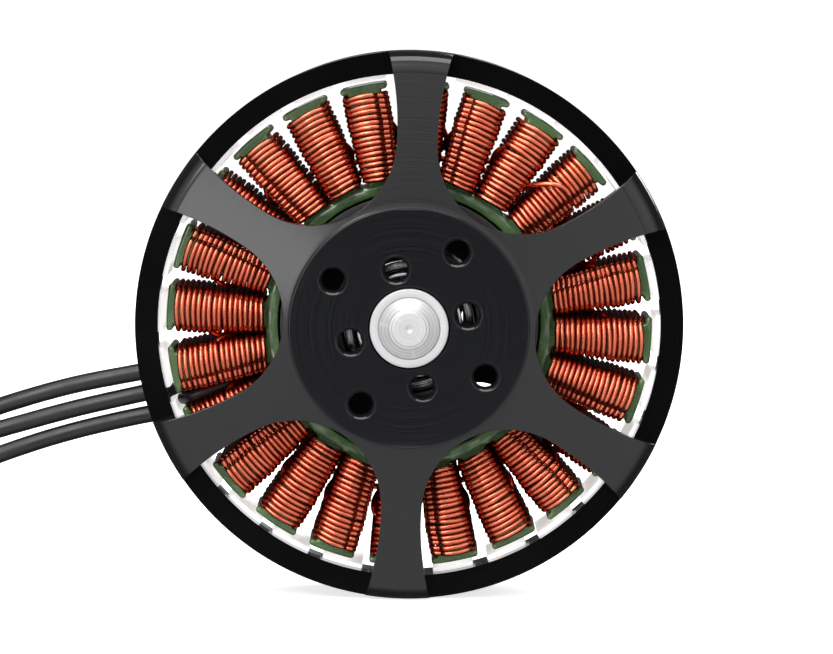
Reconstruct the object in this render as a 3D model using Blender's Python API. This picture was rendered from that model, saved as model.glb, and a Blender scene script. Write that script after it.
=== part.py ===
"""Brushless outrunner motor, 92 mm across, with 24 wound teeth, 28 magnets and three leads.

The shaft lies along Y with the rotor's hub at the front, towards -Y, and +Z is up. The origin is the
centre of the base's rear mounting face. Every turned piece is built about its own local Z, which points
forward along the shaft, and hangs on an empty that lays that local Z along -Y.
"""

from math import acos, atan2, cos, degrees, pi, radians, sin, sqrt

import bmesh
import bpy
from mathutils import Matrix, Vector

MM = 0.001
GAP = 0.3  # between two pieces that touch on the real motor
CUT_PAST = 1.0  # how far a cutter reaches past what it cuts

# Driving dimensions in millimetres. Heights are measured forward from the base's mounting face.
OUTER_R = 46.0
RIM_INNER_R = 42.15
RIM_REAR = 27.0
RIM_FRONT = 31.0
HUB_R = 20.0
HUB_FRONT = 39.0
HUB_REAR = 34.0
SPOKE_ROOT_FRONT = 38.0
SPOKE_END_FRONT = 35.0
SPOKE_THICKNESS = 3.6
SHOULDER_R = 3.5
HUB_CHAMFER = 0.4
BOSS_R = 7.5
BOSS_CHAMFER = 0.8

SPOKE_COUNT = 6
FIRST_WINDOW_DEG = 57.5
WINDOW_END_R = 14.2
WINDOW_END_AT = 35.2
WINDOW_SIDE_R = 49.0
WINDOW_SIDE_FROM_DEG = 58.0
WINDOW_SIDE_TO_DEG = 84.0

HUB_HOLE_R = 2.1
HUB_HOLE_MOUTH_R = 2.6
OUTER_HOLE_CIRCLE_R = 15.0
OUTER_HOLE_DEG = 57.6
INNER_HOLE_CIRCLE_R = 10.0
INNER_HOLE_DEG = 12.7
HUB_HOLES_PER_CIRCLE = 4

FLUX_INNER_R = 43.75
FLUX_REAR = 6.5
FLUX_CHAMFER = 0.4
MAGNET_COUNT = 28
FIRST_MAGNET_DEG = 228.7
MAGNET_WIDTH = 6.8
MAGNET_FACE_R = 41.45
MAGNET_BACK_R = 43.3
MAGNET_REAR = 8.0

TOOTH_COUNT = 24
FIRST_TOOTH_DEG = 11.0
CORE_REAR = 9.0
CORE_FRONT = 27.0
CORE_BORE_R = 22.1
YOKE_R = 24.2
NECK_HALF_WIDTH = 2.0
TIP_R = 41.0
TIP_HALF_WIDTH = 4.0
TIP_UNDERSIDE_R = 39.5
TIP_END_R = 40.2
TIP_CORNER = 0.9
ROOT_FILLET = 0.8

COIL_INNER_R = 25.1
COIL_OUTER_R = 39.1
COIL_INNER_HALF_WIDTH = 3.0
COIL_OUTER_HALF_WIDTH = 4.85
COIL_REAR = 5.3
COIL_FRONT = 30.9
COIL_CORNER_R = 2.4
PHASES = ("a", "b", "c")
CROSSOVER_R = 26.0
CROSSOVER_PITCH = 2.0
CROSSOVER_WIDTH = 1.0
CROSSOVER_REAR = 3.7
CROSSOVER_FRONT = 4.9
CROSSOVER_TAIL_TOP = 6.4

SHAFT_R = 5.0
SHAFT_REAR = 0.3
FLANGE_R = 6.55
FLANGE_REAR = 36.8
FLANGE_FRONT = 39.2
NOSE_R = 5.1
NOSE_TIP_R = 3.3
NOSE_FRONT = 41.2
NOSE_FLAT_R = 2.8
NOSE_CHAMFER = 0.3
CENTRE_DRILL_R = 0.5
CENTRE_DRILL_DEPTH = 0.3
SHAFT_CHAMFER = 0.5
GROOVE_R = 4.5
GROOVE_REAR = 1.0
GROOVE_FRONT = 2.2
CLIP_REAR = 1.3
CLIP_FRONT = 1.9
CLIP_INNER_R = 4.8
CLIP_OUTER_R = 6.4
CLIP_LUG_R = 7.6
CLIP_OPEN_HALF_DEG = 22.0
CLIP_LUG_DEG = 16.0
SHIM_REAR = 2.2
SHIM_FRONT = 2.7
SHIM_OUTER_R = 6.8

BEARING_OUTER_R = 11.0
BEARING_WIDTH = 6.0
INNER_RING_R = 6.7
OUTER_RING_INNER_R = 9.25
BALL_CIRCLE_R = 8.0
BALL_R = 1.4
BALL_COUNT = 10
RACE_R = 1.6
CAGE_HALF_THICKNESS = 0.4
CAGE_HALF_WIDTH = 0.7
SHIELD_INNER_R = 6.95
SHIELD_OUTER_R = 8.95
SHIELD_INSET = 0.25
SHIELD_THICKNESS = 0.4
REAR_BEARING_REAR = 3.0
FRONT_BEARING_REAR = 24.5

BASE_R = 23.6
BASE_PLATE_FRONT = 4.5
SEAT_R = 21.8
SEAT_INNER_R = 20.0
SEAT_FRONT = 26.5
TUBE_R = 13.2
TUBE_FRONT = 30.5
TUBE_BORE_R = 9.8
BASE_CHAMFER = 0.5
ARM_COUNT = 4
FIRST_ARM_DEG = 79.8
MOUNT_HOLE_R = 1.65
MOUNT_CIRCLE_R = 17.5
VENT_R = 5.8
VENT_CIRCLE_R = 21.2

LEAD_R = 1.5
LEAD_LENGTH = 150.0
LEAD_STEP = 7.5
FLOOR = -46.0
JOINT_SLEEVE_R = 1.8
END_SLEEVE_R = 2.3
END_SLEEVE_LENGTH = 12.0
SLEEVE_EDGE = 0.4
BULLET_COLLAR_R = 2.2
BULLET_COLLAR_LENGTH = 1.5
BULLET_R = 2.0
BULLET_WAIST_R = 1.75
BULLET_TIP_R = 1.1
BULLET_LENGTH = 12.0
BULLET_TAPER = 1.2
BULLET_STRAIGHT = 2.0

# Where the middle of each joint sleeve begins, then the lead's route, both as (x, y, z) in millimetres.
SLEEVE_STARTS = ((-33.0, -3.0, -7.2), (-33.0, -3.0, -11.2), (-33.0, -3.0, -15.2))
LEAD_ROUTES = (
    (
        (-42.3, -3.0, -9.0), (-46.8, -3.0, -9.9), (-57.1, -2.7, -11.9), (-66.1, -2.2, -14.3),
        (-75.0, -1.4, -17.3), (-84.5, -0.4, -21.4), (-94.0, 0.5, -26.8), (-102.5, 1.2, -32.8),
        (-111.0, 1.6, -38.6), (-120.5, 1.7, -43.0), (-131.5, 1.4, -44.5), (-144.0, 0.8, -44.5),
        (-156.0, 0.3, -44.5), (-167.0, 0.2, -44.4), (-176.0, 0.4, -43.8), (-184.0, 0.8, -43.7),
        (-197.0, 1.4, -43.7),
    ),
    (
        (-42.3, -3.0, -12.8), (-46.8, -3.0, -13.7), (-57.0, -3.0, -16.0), (-66.0, -3.2, -18.4),
        (-75.0, -3.7, -21.1), (-84.5, -4.6, -25.4), (-93.0, -5.6, -30.8), (-101.0, -6.8, -36.5),
        (-109.5, -8.1, -41.6), (-119.0, -9.4, -44.4), (-130.0, -10.6, -44.5), (-141.5, -11.4, -44.5),
        (-153.0, -11.8, -44.5), (-164.0, -11.8, -44.4), (-173.0, -11.4, -43.8), (-182.0, -10.8, -43.7),
        (-195.0, -9.8, -43.7),
    ),
    (
        (-42.3, -3.0, -16.8), (-46.8, -3.0, -17.5), (-57.0, -3.2, -19.8), (-66.0, -3.7, -22.4),
        (-75.0, -4.9, -25.7), (-84.0, -6.9, -30.3), (-92.0, -9.3, -35.4), (-100.0, -12.2, -40.5),
        (-109.0, -15.7, -43.8), (-119.0, -19.2, -44.5), (-130.0, -22.3, -44.5), (-142.0, -24.6, -44.5),
        (-154.0, -25.6, -44.5), (-165.0, -25.3, -44.4), (-174.0, -24.3, -43.8), (-183.0, -22.8, -43.7),
        (-196.0, -20.2, -43.7),
    ),
)

# How finely round things are divided.
BELL_STEPS = 64
CORE_BORE_STEPS = 48
BASE_STEPS = 48
SHAFT_STEPS = 32
BEARING_STEPS = 24
SMALL_STEPS = 12
VENT_STEPS = 24
ROUND_EDGE_STEPS = 4
WINDOW_END_STEPS = 16
WINDOW_SIDE_STEPS = 6
COIL_CORNER_STEPS = 2
CLIP_STEPS = 24
CLIP_LUG_STEPS = 2
BALL_STEPS = 8
LEAD_BEVEL_STEPS = 2
CURVE_PARTS = 20
SHARP_DEG = 35.0


def clear_scene():
    for obj in list(bpy.data.objects):
        bpy.data.objects.remove(obj, do_unlink=True)


def material(name, colour, roughness, metallic):
    made = bpy.data.materials.new(name)
    made.use_nodes = True
    shader = made.node_tree.nodes["Principled BSDF"]
    shader.inputs["Base Color"].default_value = (*colour, 1.0)
    shader.inputs["Roughness"].default_value = roughness
    shader.inputs["Metallic"].default_value = metallic
    made.diffuse_color = (*colour, 1.0)
    return made


def axis_empty(name):
    """An empty at the origin whose local Z runs forward along the shaft, towards world -Y."""
    empty = bpy.data.objects.new(name, None)
    empty.rotation_euler = (pi / 2, 0, 0)
    bpy.context.scene.collection.objects.link(empty)
    return empty


def finish_mesh(name, bm):
    bmesh.ops.recalc_face_normals(bm, faces=bm.faces)
    mesh = bpy.data.meshes.new(name)
    bm.to_mesh(mesh)
    bm.free()
    mesh.shade_smooth()
    mesh.set_sharp_from_angle(angle=radians(SHARP_DEG))
    return mesh


def add_object(name, mesh, look, parent):
    if not mesh.materials:
        mesh.materials.append(look)
    obj = bpy.data.objects.new(name, mesh)
    obj.parent = parent
    bpy.context.scene.collection.objects.link(obj)
    return obj


def add_helper(name, mesh, parent):
    """A shape that cuts or joins another and isn't a piece of the motor."""
    obj = bpy.data.objects.new(name, mesh)
    obj.parent = parent
    obj.hide_render = True
    obj.display_type = "WIRE"
    bpy.context.scene.collection.objects.link(obj)
    return obj


def combine(obj, other, operation):
    modifier = obj.modifiers.new(other.name, "BOOLEAN")
    modifier.operation = operation
    modifier.object = other
    modifier.solver = "EXACT"


def polar(radius, degrees, height=0.0):
    angle = radians(degrees)
    return Vector((radius * cos(angle), radius * sin(angle), height))


def arc(centre, radius, from_deg, to_deg, steps):
    """Points (across, along) on an arc, both ends included."""
    points = []
    for step in range(steps + 1):
        angle = radians(from_deg + (to_deg - from_deg) * step / steps)
        points.append((centre[0] + radius * cos(angle), centre[1] + radius * sin(angle)))
    return points


def spin_profile(bm, profile, steps, closed=True):
    """Turns an outline of (radius, height) in millimetres about local Z."""
    verts = [bm.verts.new((radius * MM, 0, height * MM)) for radius, height in profile]
    pairs = list(zip(verts, verts[1:]))
    if closed:
        pairs.append((verts[-1], verts[0]))
    edges = [bm.edges.new(pair) for pair in pairs]
    bmesh.ops.spin(
        bm, geom=verts + edges, cent=(0, 0, 0), axis=(0, 0, 1), angle=2 * pi, steps=steps, use_merge=True
    )
    bmesh.ops.remove_doubles(bm, verts=bm.verts, dist=1e-7)


def turned(name, profile, steps, closed=True):
    bm = bmesh.new()
    spin_profile(bm, profile, steps, closed)
    return finish_mesh(name, bm)


def add_prism(bm, outline, low, high, transform=None):
    """Adds an upright prism over an outline of (x, y), from one height to another, in millimetres."""
    verts = [bm.verts.new((x * MM, y * MM, low * MM)) for x, y in outline]
    face = bm.faces.new(verts)
    made = bmesh.ops.extrude_face_region(bm, geom=[face], use_keep_orig=True)
    top = [item for item in made["geom"] if isinstance(item, bmesh.types.BMVert)]
    bmesh.ops.translate(bm, verts=top, vec=(0, 0, (high - low) * MM))
    if transform is not None:
        bmesh.ops.transform(bm, matrix=transform, verts=verts + top)


def circle(centre, radius, steps):
    return arc(centre, radius, 0, 360 * (steps - 1) / steps, steps - 1)


def turn(degrees):
    return Matrix.Rotation(radians(degrees), 4, "Z")


def rotor_bell(axis, look):
    """Machined bell: flat hub, six sloping spokes with rounded shoulders, and a thin rim."""
    shoulder_centre = (OUTER_R - SHOULDER_R, SPOKE_END_FRONT - SHOULDER_R)
    profile = [
        (FLANGE_R + GAP, HUB_FRONT),
        (HUB_R - HUB_CHAMFER, HUB_FRONT),
        (HUB_R, HUB_FRONT - HUB_CHAMFER),
        (HUB_R, SPOKE_ROOT_FRONT),
    ]
    profile += arc(shoulder_centre, SHOULDER_R, 90, 0, ROUND_EDGE_STEPS)
    profile += [
        (OUTER_R, RIM_REAR),
        (RIM_INNER_R, RIM_REAR),
        (RIM_INNER_R, SPOKE_END_FRONT - SPOKE_THICKNESS),
        (HUB_R, SPOKE_ROOT_FRONT - SPOKE_THICKNESS),
        (BOSS_R + BOSS_CHAMFER, HUB_REAR),
        (BOSS_R, HUB_REAR - BOSS_CHAMFER),
        (BOSS_R, FRONT_BEARING_REAR + BEARING_WIDTH + GAP),
        (SHAFT_R + GAP, FRONT_BEARING_REAR + BEARING_WIDTH + GAP),
        (SHAFT_R + GAP, FLANGE_REAR - GAP),
        (FLANGE_R + GAP, FLANGE_REAR - GAP),
    ]
    bell = add_object("rotor_bell", turned("rotor_bell", profile, BELL_STEPS), look, axis)
    combine(bell, window_cutter(axis), "DIFFERENCE")
    combine(bell, hub_hole_cutter(axis), "DIFFERENCE")


def window_outline():
    """One bell window: a round inner end that runs on into two gently curved sides."""
    first, last = 180 - WINDOW_SIDE_FROM_DEG, 180 + WINDOW_SIDE_FROM_DEG
    end = arc((WINDOW_END_AT, 0), WINDOW_END_R, first, last, WINDOW_END_STEPS)
    shift = WINDOW_SIDE_R - WINDOW_END_R
    across = WINDOW_END_AT + shift * cos(radians(WINDOW_SIDE_FROM_DEG))
    along = shift * sin(radians(WINDOW_SIDE_FROM_DEG))
    upper = arc((across, -along), WINDOW_SIDE_R, 180 - WINDOW_SIDE_TO_DEG, first, WINDOW_SIDE_STEPS)
    lower = [(x, -y) for x, y in reversed(upper)]
    return upper[:-1] + end + lower[1:]


def window_cutter(axis):
    bm = bmesh.new()
    for window in range(SPOKE_COUNT):
        place = turn(FIRST_WINDOW_DEG + 360 * window / SPOKE_COUNT)
        add_prism(bm, window_outline(), RIM_FRONT, HUB_FRONT + CUT_PAST, place)
    return add_helper("window_cutter", finish_mesh("window_cutter", bm), axis)


def hub_hole_cutter(axis):
    """Eight tapped holes through the hub, each with a small countersunk mouth."""
    mouth = HUB_HOLE_MOUTH_R - HUB_HOLE_R
    profile = [
        (0, HUB_FRONT + CUT_PAST),
        (HUB_HOLE_MOUTH_R, HUB_FRONT + CUT_PAST),
        (HUB_HOLE_MOUTH_R, HUB_FRONT),
        (HUB_HOLE_R, HUB_FRONT - mouth),
        (HUB_HOLE_R, HUB_REAR - CUT_PAST),
        (0, HUB_REAR - CUT_PAST),
    ]
    bm = bmesh.new()
    for radius, first in ((OUTER_HOLE_CIRCLE_R, OUTER_HOLE_DEG), (INNER_HOLE_CIRCLE_R, INNER_HOLE_DEG)):
        for hole in range(HUB_HOLES_PER_CIRCLE):
            one = bmesh.new()
            spin_profile(one, profile, SMALL_STEPS, closed=False)
            place = polar(radius * MM, first + 360 * hole / HUB_HOLES_PER_CIRCLE)
            bmesh.ops.translate(one, verts=one.verts, vec=place)
            add_copy(bm, one)
    return add_helper("hub_hole_cutter", finish_mesh("hub_hole_cutter", bm), axis)


def add_copy(bm, other):
    """Moves everything in one bmesh into another, and frees the first."""
    mesh = bpy.data.meshes.new("passing")
    other.to_mesh(mesh)
    other.free()
    bm.from_mesh(mesh)
    bpy.data.meshes.remove(mesh)


def flux_ring(axis, look):
    profile = [
        (FLUX_INNER_R, RIM_REAR - GAP),
        (OUTER_R, RIM_REAR - GAP),
        (OUTER_R, FLUX_REAR + FLUX_CHAMFER),
        (OUTER_R - FLUX_CHAMFER, FLUX_REAR),
        (FLUX_INNER_R, FLUX_REAR),
    ]
    add_object("flux_ring", turned("flux_ring", profile, BELL_STEPS), look, axis)


def magnets(axis, look):
    """Flat blocks stood round the inside of the flux ring, all sharing one mesh."""
    half_thickness = (MAGNET_BACK_R - MAGNET_FACE_R) / 2
    outline = [
        (-half_thickness, -MAGNET_WIDTH / 2),
        (half_thickness, -MAGNET_WIDTH / 2),
        (half_thickness, MAGNET_WIDTH / 2),
        (-half_thickness, MAGNET_WIDTH / 2),
    ]
    bm = bmesh.new()
    add_prism(bm, outline, MAGNET_REAR, RIM_REAR - GAP)
    mesh = finish_mesh("magnet", bm)
    for number in range(MAGNET_COUNT):
        angle = FIRST_MAGNET_DEG + 360 * number / MAGNET_COUNT
        block = add_object(f"magnet_{number + 1:02d}", mesh, look, axis)
        block.location = polar((MAGNET_FACE_R + half_thickness) * MM, angle)
        block.rotation_euler = (0, 0, radians(angle))


def shaft(axis, look):
    """Flanged shaft: chamfered rear end with a circlip groove, and a stepped nose at the front."""
    profile = [
        (0, NOSE_FRONT - CENTRE_DRILL_DEPTH),
        (CENTRE_DRILL_R, NOSE_FRONT),
        (NOSE_FLAT_R, NOSE_FRONT),
        (NOSE_TIP_R, NOSE_FRONT - SHAFT_CHAMFER),
        (NOSE_R, FLANGE_FRONT + NOSE_CHAMFER),
        (NOSE_R, FLANGE_FRONT),
        (FLANGE_R, FLANGE_FRONT),
        (FLANGE_R, FLANGE_REAR),
        (SHAFT_R, FLANGE_REAR),
        (SHAFT_R, GROOVE_FRONT),
        (GROOVE_R, GROOVE_FRONT),
        (GROOVE_R, GROOVE_REAR),
        (SHAFT_R, GROOVE_REAR),
        (SHAFT_R - SHAFT_CHAMFER, SHAFT_REAR),
        (0, SHAFT_REAR),
    ]
    add_object("shaft", turned("shaft", profile, SHAFT_STEPS, closed=False), look, axis)


def shaft_circlip(axis, look):
    """Open spring ring with a lug at each end."""
    open_end = CLIP_OPEN_HALF_DEG
    lug_end = open_end + CLIP_LUG_DEG
    outline = arc((0, 0), CLIP_INNER_R, open_end, 360 - open_end, CLIP_STEPS)
    outline += arc((0, 0), CLIP_LUG_R, 360 - open_end, 360 - lug_end, CLIP_LUG_STEPS)
    outline += arc((0, 0), CLIP_OUTER_R, 360 - lug_end, lug_end, CLIP_STEPS)
    outline += arc((0, 0), CLIP_LUG_R, lug_end, open_end, CLIP_LUG_STEPS)
    bm = bmesh.new()
    add_prism(bm, outline, CLIP_REAR, CLIP_FRONT, turn(-90))
    add_object("shaft_circlip", finish_mesh("shaft_circlip", bm), look, axis)


def shaft_shim(axis, look):
    profile = [
        (SHAFT_R + GAP, SHIM_FRONT),
        (SHIM_OUTER_R, SHIM_FRONT),
        (SHIM_OUTER_R, SHIM_REAR),
        (SHAFT_R + GAP, SHIM_REAR),
    ]
    add_object("shaft_shim", turned("shaft_shim", profile, BEARING_STEPS), look, axis)


def tooth_outline():
    """Half of one tooth as (out, across): slot bottom, root fillet, neck, and a T-shaped tip."""
    half_width = TIP_HALF_WIDTH / 2
    bottom = polar(YOKE_R, 180 / TOOTH_COUNT)
    return [
        (bottom.x, bottom.y),
        (YOKE_R + 0.3 * ROOT_FILLET, NECK_HALF_WIDTH + 0.4 * ROOT_FILLET),
        (YOKE_R + ROOT_FILLET, NECK_HALF_WIDTH),
        (TIP_UNDERSIDE_R, NECK_HALF_WIDTH),
        (TIP_UNDERSIDE_R + TIP_CORNER / 3, TIP_HALF_WIDTH - TIP_CORNER),
        (TIP_END_R, TIP_HALF_WIDTH - TIP_CORNER / 9),
        (sqrt(TIP_R**2 - TIP_HALF_WIDTH**2), TIP_HALF_WIDTH),
        (sqrt(TIP_R**2 - half_width**2), half_width),
    ]


def stator_core(axis, look):
    """The stack of laminations, bonded and coated as one piece."""
    half = tooth_outline()
    whole = [(x, -y) for x, y in half] + [(x, y) for x, y in reversed(half[1:])]
    bm = bmesh.new()
    outline = []
    for tooth in range(TOOTH_COUNT):
        place = turn(FIRST_TOOTH_DEG + 360 * tooth / TOOTH_COUNT)
        outline += [bm.verts.new(place @ Vector((x * MM, y * MM, CORE_REAR * MM))) for x, y in whole]
    bore = [
        bm.verts.new((x * MM, y * MM, CORE_REAR * MM))
        for x, y in circle((0, 0), CORE_BORE_R, CORE_BORE_STEPS)
    ]
    for loop in (outline, bore):
        for first, second in zip(loop, loop[1:] + loop[:1]):
            bm.edges.new((first, second))
    bmesh.ops.triangle_fill(bm, edges=bm.edges, use_beauty=True)
    made = bmesh.ops.extrude_face_region(bm, geom=list(bm.faces), use_keep_orig=True)
    top = [item for item in made["geom"] if isinstance(item, bmesh.types.BMVert)]
    bmesh.ops.translate(bm, verts=top, vec=(0, 0, (CORE_FRONT - CORE_REAR) * MM))
    add_object("stator_core", finish_mesh("stator_core", bm), look, axis)


def coil_section(out, half_width):
    """A coil's outer and inner outlines at one radius: a rounded box round the tooth's neck."""
    corner = min(COIL_CORNER_R, half_width - GAP)
    outer = []
    for across, height, start in (
        (half_width - corner, COIL_FRONT - corner, 0),
        (corner - half_width, COIL_FRONT - corner, 90),
        (corner - half_width, COIL_REAR + corner, 180),
        (half_width - corner, COIL_REAR + corner, 270),
    ):
        outer += arc((across, height), corner, start, start + 90, COIL_CORNER_STEPS)
    hole = NECK_HALF_WIDTH + GAP
    inner = [
        (hole, CORE_FRONT + GAP),
        (-hole, CORE_FRONT + GAP),
        (-hole, CORE_REAR - GAP),
        (hole, CORE_REAR - GAP),
    ]
    return [[Vector((out * MM, a * MM, z * MM)) for a, z in outline] for outline in (outer, inner)]


def add_coil(bm, place):
    """One coil, wider at its outer end, turned to its tooth."""
    rims = []
    for out, half_width in ((COIL_INNER_R, COIL_INNER_HALF_WIDTH), (COIL_OUTER_R, COIL_OUTER_HALF_WIDTH)):
        loops = []
        ends = []
        for outline in coil_section(out, half_width):
            verts = [bm.verts.new(place @ point) for point in outline]
            loops.append(verts)
            ends += [bm.edges.new(pair) for pair in zip(verts, verts[1:] + verts[:1])]
        bmesh.ops.triangle_fill(bm, edges=ends, use_beauty=True)
        rims.append(loops)
    for near, far in zip(*rims):
        count = len(near)
        for index in range(count):
            after = (index + 1) % count
            bm.faces.new((near[index], near[after], far[after], far[index]))


def windings(axis, look):
    """Each phase is wound on pairs of neighbouring teeth, and one loop behind them joins its coils."""
    for number, phase in enumerate(PHASES):
        teeth = [tooth for tooth in range(TOOTH_COUNT) if tooth // 2 % len(PHASES) == number]
        bm = bmesh.new()
        for tooth in teeth:
            add_coil(bm, turn(FIRST_TOOTH_DEG + 360 * tooth / TOOTH_COUNT))
        coils = add_helper(f"coil_set_{phase}", finish_mesh(f"coil_set_{phase}", bm), axis)
        mesh = crossover_loop(f"winding_phase_{phase}", CROSSOVER_R + CROSSOVER_PITCH * number, teeth)
        combine(add_object(f"winding_phase_{phase}", mesh, look, axis), coils, "UNION")


def crossover_loop(name, radius, teeth):
    """A loop of wire behind the coils, with a tail up into each coil of its phase."""
    half_pitch = 180 / TOOTH_COUNT
    half_width = CROSSOVER_WIDTH / 2
    profile = [
        (radius - half_width, CROSSOVER_FRONT),
        (radius + half_width, CROSSOVER_FRONT),
        (radius + half_width, CROSSOVER_REAR),
        (radius - half_width, CROSSOVER_REAR),
    ]
    bm = bmesh.new()
    spin_profile(bm, profile, TOOTH_COUNT)
    bmesh.ops.transform(bm, matrix=turn(FIRST_TOOTH_DEG + half_pitch), verts=bm.verts)
    bmesh.ops.recalc_face_normals(bm, faces=bm.faces)
    fronts = []
    for face in bm.faces:
        centre = face.calc_center_median()
        tooth = round((degrees(atan2(centre.y, centre.x)) - FIRST_TOOTH_DEG) / (2 * half_pitch))
        faces_forward = face.normal.z > cos(radians(SHARP_DEG))
        if faces_forward and tooth % TOOTH_COUNT in teeth:
            fronts.append(face)
    bmesh.ops.inset_individual(bm, faces=fronts, thickness=half_width * MM / 2)
    for face in fronts:
        made = bmesh.ops.extrude_face_region(bm, geom=[face])
        top = [item for item in made["geom"] if isinstance(item, bmesh.types.BMVert)]
        bmesh.ops.translate(bm, verts=top, vec=(0, 0, (CROSSOVER_TAIL_TOP - CROSSOVER_FRONT) * MM))
        bm.faces.remove(face)
    return finish_mesh(name, bm)


def stator_base(axis, look):
    """Base plate with four arms, the bearing tube in its middle, and the ring that seats the core."""
    pocket = BEARING_OUTER_R + GAP
    rear_shoulder = REAR_BEARING_REAR + BEARING_WIDTH + GAP
    front_shoulder = FRONT_BEARING_REAR - GAP
    profile = [
        (pocket, TUBE_FRONT),
        (TUBE_R, TUBE_FRONT),
        (TUBE_R, BASE_PLATE_FRONT),
        (SEAT_INNER_R, BASE_PLATE_FRONT),
        (SEAT_INNER_R, SEAT_FRONT),
        (SEAT_R, SEAT_FRONT),
        (SEAT_R, CORE_REAR - GAP),
        (BASE_R, CORE_REAR - GAP),
        (BASE_R, BASE_CHAMFER),
        (BASE_R - BASE_CHAMFER, 0),
        (pocket, 0),
        (pocket, rear_shoulder),
        (TUBE_BORE_R, rear_shoulder),
        (TUBE_BORE_R, front_shoulder),
        (pocket, front_shoulder),
    ]
    base = add_object("stator_base", turned("stator_base", profile, BASE_STEPS), look, axis)
    bm = bmesh.new()
    vent_offset = 180 / ARM_COUNT
    for arm in range(ARM_COUNT):
        angle = FIRST_ARM_DEG + 360 * arm / ARM_COUNT
        hole = polar(MOUNT_CIRCLE_R, angle)
        vent = polar(VENT_CIRCLE_R, angle + vent_offset)
        top = BASE_PLATE_FRONT + CUT_PAST
        add_prism(bm, circle(hole.xy, MOUNT_HOLE_R, SMALL_STEPS), -CUT_PAST, top)
        add_prism(bm, circle(vent.xy, VENT_R, VENT_STEPS), -CUT_PAST, top)
    combine(base, add_helper("base_cutter", finish_mesh("base_cutter", bm), axis), "DIFFERENCE")


def race(outer, middle):
    """A ring's groove for the balls, from its rear shoulder to its front one."""
    shoulder = OUTER_RING_INNER_R if outer else INNER_RING_R
    reach = degrees(acos(abs(shoulder - BALL_CIRCLE_R) / RACE_R))
    first, last = (-reach, reach) if outer else (180 + reach, 180 - reach)
    return arc((BALL_CIRCLE_R, middle), RACE_R, first, last, ROUND_EDGE_STEPS)


def bearing(prefix, rear, axes, looks):
    """Shielded deep-groove ball bearing: 10 mm bore, 22 mm outside, 6 mm wide."""
    front = rear + BEARING_WIDTH
    middle = (rear + front) / 2
    steel = looks["bearing_steel"]
    inner = [(INNER_RING_R, front), (SHAFT_R + GAP, front), (SHAFT_R + GAP, rear), (INNER_RING_R, rear)]
    inner += race(False, middle)
    ring = turned(f"{prefix}_inner_ring", inner, BEARING_STEPS)
    add_object(ring.name, ring, steel, axes["rotor"])
    outer = [(BEARING_OUTER_R, front), (BEARING_OUTER_R, rear), (OUTER_RING_INNER_R, rear)]
    outer += race(True, middle) + [(OUTER_RING_INNER_R, front)]
    ring = turned(f"{prefix}_outer_ring", outer, BEARING_STEPS)
    add_object(ring.name, ring, steel, axes["stator"])
    shield(f"{prefix}_rear_shield", rear + SHIELD_INSET, axes["stator"], looks["shield"])
    front_inset = SHIELD_INSET + SHIELD_THICKNESS
    shield(f"{prefix}_front_shield", front - front_inset, axes["stator"], looks["shield"])
    bearing_cage(prefix, middle, axes[prefix], looks["cage"])


def shield(name, low, axis, look):
    high = low + SHIELD_THICKNESS
    profile = [(SHIELD_INNER_R, low), (SHIELD_INNER_R, high), (SHIELD_OUTER_R, high), (SHIELD_OUTER_R, low)]
    add_object(name, turned(name, profile, BEARING_STEPS), look, axis)


def bearing_cage(prefix, middle, axis, look):
    """The cage ring and the balls that it carries round, as one piece."""
    near = BALL_CIRCLE_R - CAGE_HALF_THICKNESS
    far = BALL_CIRCLE_R + CAGE_HALF_THICKNESS
    low = middle - CAGE_HALF_WIDTH
    high = middle + CAGE_HALF_WIDTH
    ring = turned(f"{prefix}_cage", [(near, low), (near, high), (far, high), (far, low)], BEARING_STEPS)
    bm = bmesh.new()
    for ball in range(BALL_COUNT):
        place = Matrix.Translation(polar(BALL_CIRCLE_R * MM, 360 * (ball + 0.5) / BALL_COUNT, middle * MM))
        bmesh.ops.create_uvsphere(
            bm, u_segments=BALL_STEPS, v_segments=BALL_STEPS - 2, radius=BALL_R * MM, matrix=place
        )
    balls = add_helper(f"{prefix}_balls", finish_mesh(f"{prefix}_balls", bm), axis)
    combine(add_object(f"{prefix}_cage", ring, look, axis), balls, "UNION")


def smooth_route(points, length, step):
    """Evenly spaced points on a smooth curve through the given ones, cut to length, none below the floor."""
    route = [Vector(point) for point in points]
    dense = [route[0]]
    for index in range(len(route) - 1):
        before = route[max(index - 1, 0)]
        start, end = route[index], route[index + 1]
        after = route[min(index + 2, len(route) - 1)]
        for part in range(1, CURVE_PARTS + 1):
            t = part / CURVE_PARTS
            square = (2 * before - 5 * start + 4 * end - after) * t**2
            cube = (3 * start - before - 3 * end + after) * t**3
            dense.append(0.5 * (2 * start + (end - before) * t + square + cube))
    count = round(length / step)
    wanted = [length * index / count for index in range(count + 1)]
    found = []
    travelled = 0.0
    for start, end in zip(dense, dense[1:]):
        span = (end - start).length
        while len(found) < len(wanted) and wanted[len(found)] <= travelled + span:
            found.append(start.lerp(end, (wanted[len(found)] - travelled) / span))
        travelled += span
    for point in found:
        point.z = max(point.z, FLOOR + LEAD_R)
    return found


def along(obj, start, direction):
    """Lays a turned piece's local Z along a direction from a starting point, in world millimetres."""
    obj.location = start * MM
    obj.rotation_euler = direction.to_track_quat("Z", "Y").to_euler()


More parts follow.
